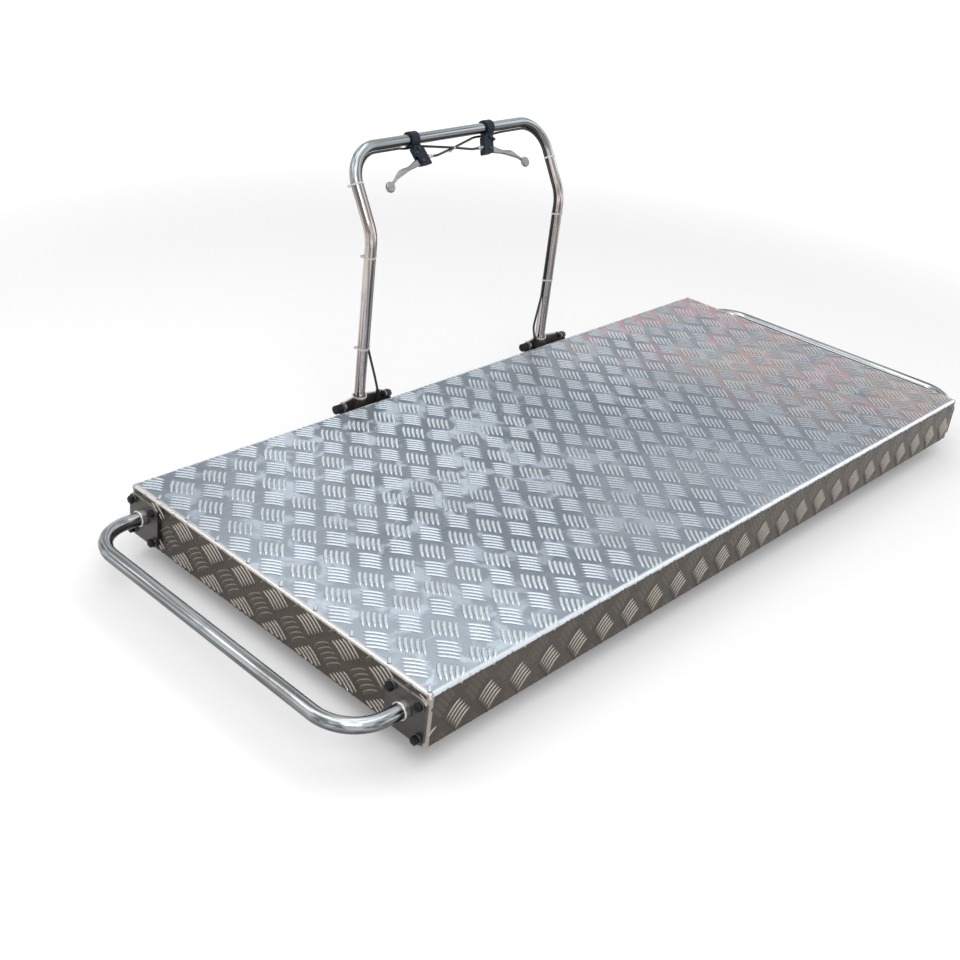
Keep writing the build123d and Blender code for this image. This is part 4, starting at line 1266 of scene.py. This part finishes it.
lever_metal = metal_surface("lever_metal", LEVER_PALE, LEVER_DEEP, (0.1, 1, 1), 240.0, 0.24, 0.15)
lever_moulding = moulding("lever_moulding", CLAMP_PALE, CLAMP_DEEP)
for name in ("left", "right"):
    paint_node("lever_bracket_" + name, lever_moulding)
    paint_node("hand_lever_" + name, lever_metal)
    paint_node("cable_adjuster_" + name, zinc_metal)
pin_head = turned_mesh("pin_head", [(0, 0), (0.0042, 0), (0.0042, 0.0009), (0.0034, 0.0017), (0, 0.0019)], 18)
screw_profile = (
    (0, -0.001),
    (0.0035, -0.001),
    (0.0035, 0.0030),
    (0.0031, 0.0036),
    (0.0019, 0.0036),
    (0.0017, 0.0018),
    (0, 0.0018),
)
screw_head = turned_mesh("screw_head", screw_profile, 18)
pin_places = []
screw_places = []
for side in (-1, 1):
    for face, way in ((HEAD_HALF, FRONT_WAY), (-HEAD_HALF, BACK_WAY)):
        pin_places.append((by_lever(side, *LEVER_PIN_AT, face), way, 0.0))
    for screw in (CLAMP_SCREW_AT, REACH_SCREW_AT):
        screw_places.append((by_lever(side, *screw, HEAD_HALF), FRONT_WAY, 0.0))
add_shapes("lever_pins", pin_head, pin_places, blued_metal, "handle")
add_shapes("lever_screws", screw_head, screw_places, blued_metal, "handle")

# Brake cables
# Black plastic-sheathed cables along the legs. A short ribbed rubber boot covers each cable where it
# crosses the folding line.
PIVOT_Y = 0.3855
BOOT_LOW = 0.113
BOOT_HIGH = 0.145
BOOT_RADIUS = 0.0041
BOOT_RIBS = 8
BOOT_BORE = 0.0024
BOOT_SWELL = 0.0005
CABLE_PALE = (0.022, 0.022, 0.023, 1)
CABLE_DEEP = (0.010, 0.010, 0.011, 1)

cable_skin, tree, shader = new_material("cable_skin")
place = surface(tree)[0]
sheen = noise(place, 60.0, 4.0)
dust = use_pattern(grime, place, Scale=25.0, Amount=0.45)
tone = mix(between(sheen, 0.3, 0.7), CABLE_DEEP, CABLE_PALE)
fill(shader, {
    "Base Color": cover(tone, DUST_COLOUR, dust[0], 0.3),
    "Roughness": between(sheen, 0.2, 0.8, 0.28, 0.48),
})
for name in ("left", "right"):
    for stem in ("handle_cable_", "deck_cable_"):
        paint_node(stem + name, cable_skin)
    paint_node("cable_grommet_" + name, black_moulding)
boot_profile = [(BOOT_BORE, BOOT_LOW)]
steps = 4 * BOOT_RIBS
for step in range(steps + 1):
    height = BOOT_LOW + (BOOT_HIGH - BOOT_LOW) * step / steps
    boot_profile.append((BOOT_RADIUS + BOOT_SWELL * math.cos(math.pi * step / 2), height))
boot_profile += [(BOOT_BORE, BOOT_HIGH), boot_profile[0]]
for name, side in (("left", -1), ("right", 1)):
    mesh = turned_mesh("cable_boot_" + name, boot_profile, 16)
    mesh.transform(Matrix.Translation((side * CABLE_X, PIVOT_Y, 0)))
    boot = new_piece("cable_boot_" + name, mesh, black_moulding, None)
    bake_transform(boot)

# Cable ties
# White nylon ties hold each cable to its leg in three places, and the two cables to each other where
# they cross under the bar. Each has its square head at the back and a cut tail.
TIE_WIDTH = 0.0036
TIE_THICKNESS = 0.0011
TUBE_RADIUS = 0.0111
CABLE_RADIUS = 0.0025
CABLE_AWAY = 0.0141
TIE_GAP = 0.0002
TIE_HEAD = (0.0056, 0.0046, 0.0050)
HEAD_SUNK = 0.0004
TAIL_LENGTH = 0.0030
TAIL_OUT = 0.0032
TAIL_ASIDE = 0.0008
CROSSING_RISE = 0.1395
CROSSING_BACK = 0.0070
CROSSING_APART = 0.0071
TIE_STEPS = 40
BLOCK_FACES = ((0, 1, 3, 2), (4, 6, 7, 5), (0, 4, 5, 1), (2, 3, 7, 6), (0, 2, 6, 4), (1, 5, 7, 3))
NYLON_PALE = (0.72, 0.71, 0.67, 1)
NYLON_DEEP = (0.52, 0.51, 0.47, 1)

nylon, tree, shader = new_material("nylon")
cloud = noise(surface(tree)[0], 220.0, 2.0)
fill(shader, {
    "Base Color": mix(cloud, NYLON_DEEP, NYLON_PALE),
    "Roughness": between(cloud, 0.3, 0.7, 0.28, 0.42),
    "Subsurface Weight": 0.15,
    "Subsurface Scale": 0.002,
})


def tie_mesh(name, centre, along, across, radii, apart, head_angle):
    """A tie round two round bars: the larger at the centre, the smaller apart along across."""
    along = Vector(along).normalized()
    across = Vector(across).normalized()
    third = along.cross(across)
    large, small = radii
    points = []
    for step in range(TIE_STEPS):
        angle = 2 * math.pi * step / TIE_STEPS
        away = math.cos(angle)
        radius, shift = (large, 0.0) if large >= small + apart * away else (small, apart)
        for lift, height in ((TIE_GAP, -0.5), (TIE_THICKNESS, -0.5), (TIE_THICKNESS, 0.5), (TIE_GAP, 0.5)):
            out = radius + lift
            flat = across * (shift + out * away) + third * (out * math.sin(angle))
            points.append(Vector(centre) + flat + along * (height * TIE_WIDTH))
    faces = []
    for step in range(TIE_STEPS):
        after = (step + 1) % TIE_STEPS
        for side in range(4):
            turned = (side + 1) % 4
            faces.append((4 * step + side, 4 * step + turned, 4 * after + turned, 4 * after + side))
    way = across * math.cos(head_angle) + third * math.sin(head_angle)
    flank = along.cross(way)
    middle = Vector(centre) + way * (large + TIE_THICKNESS + TIE_HEAD[2] / 2 - HEAD_SUNK)
    blocks = [
        (middle, TIE_HEAD),
        (middle + way * TAIL_OUT + flank * TAIL_ASIDE, (TIE_WIDTH, TIE_THICKNESS, TAIL_LENGTH)),
    ]
    for place, (long, wide, deep) in blocks:
        for x, y, z in itertools.product((-0.5, 0.5), repeat=3):
            points.append(place + along * (x * long) + flank * (y * wide) + way * (z * deep))
        first = len(points) - 8
        faces += [tuple(first + corner for corner in face) for face in BLOCK_FACES]
    return shape_mesh(name, points, faces, False)


TIES = (
    # name, side, height on the upright or rise on the lean, on the lean, angle of the head
    ("left_low", -1, DECK_TOP + 0.113, False, 2.3),
    ("left_middle", -1, DECK_TOP + 0.306, False, 2.2),
    ("left_top", -1, 0.102, True, 2.4),
    ("right_low", 1, DECK_TOP + 0.150, False, -2.2),
    ("right_middle", 1, DECK_TOP + 0.308, False, -2.3),
    ("right_top", 1, 0.084, True, -2.4),
)
for name, side, height, leaning, angle in TIES:
    centre = on_lean(side * LEG_X, height) if leaning else (side * LEG_X, LEG_Y, height)
    way = UP_WAY if leaning else (0, 0, 1)
    mesh = tie_mesh("tie_" + name, centre, way, (-side, 0, 0), (TUBE_RADIUS, CABLE_RADIUS), CABLE_AWAY, angle)
    new_piece("tie_" + name, mesh, nylon, "handle")
centre = on_lean(0, CROSSING_RISE, -CROSSING_BACK)
cables = (CABLE_RADIUS, CABLE_RADIUS)
mesh = tie_mesh("tie_crossing", centre, (1, 0, 0), FRONT_WAY, cables, CROSSING_APART, 2.6)
new_piece("tie_crossing", mesh, nylon, "handle")
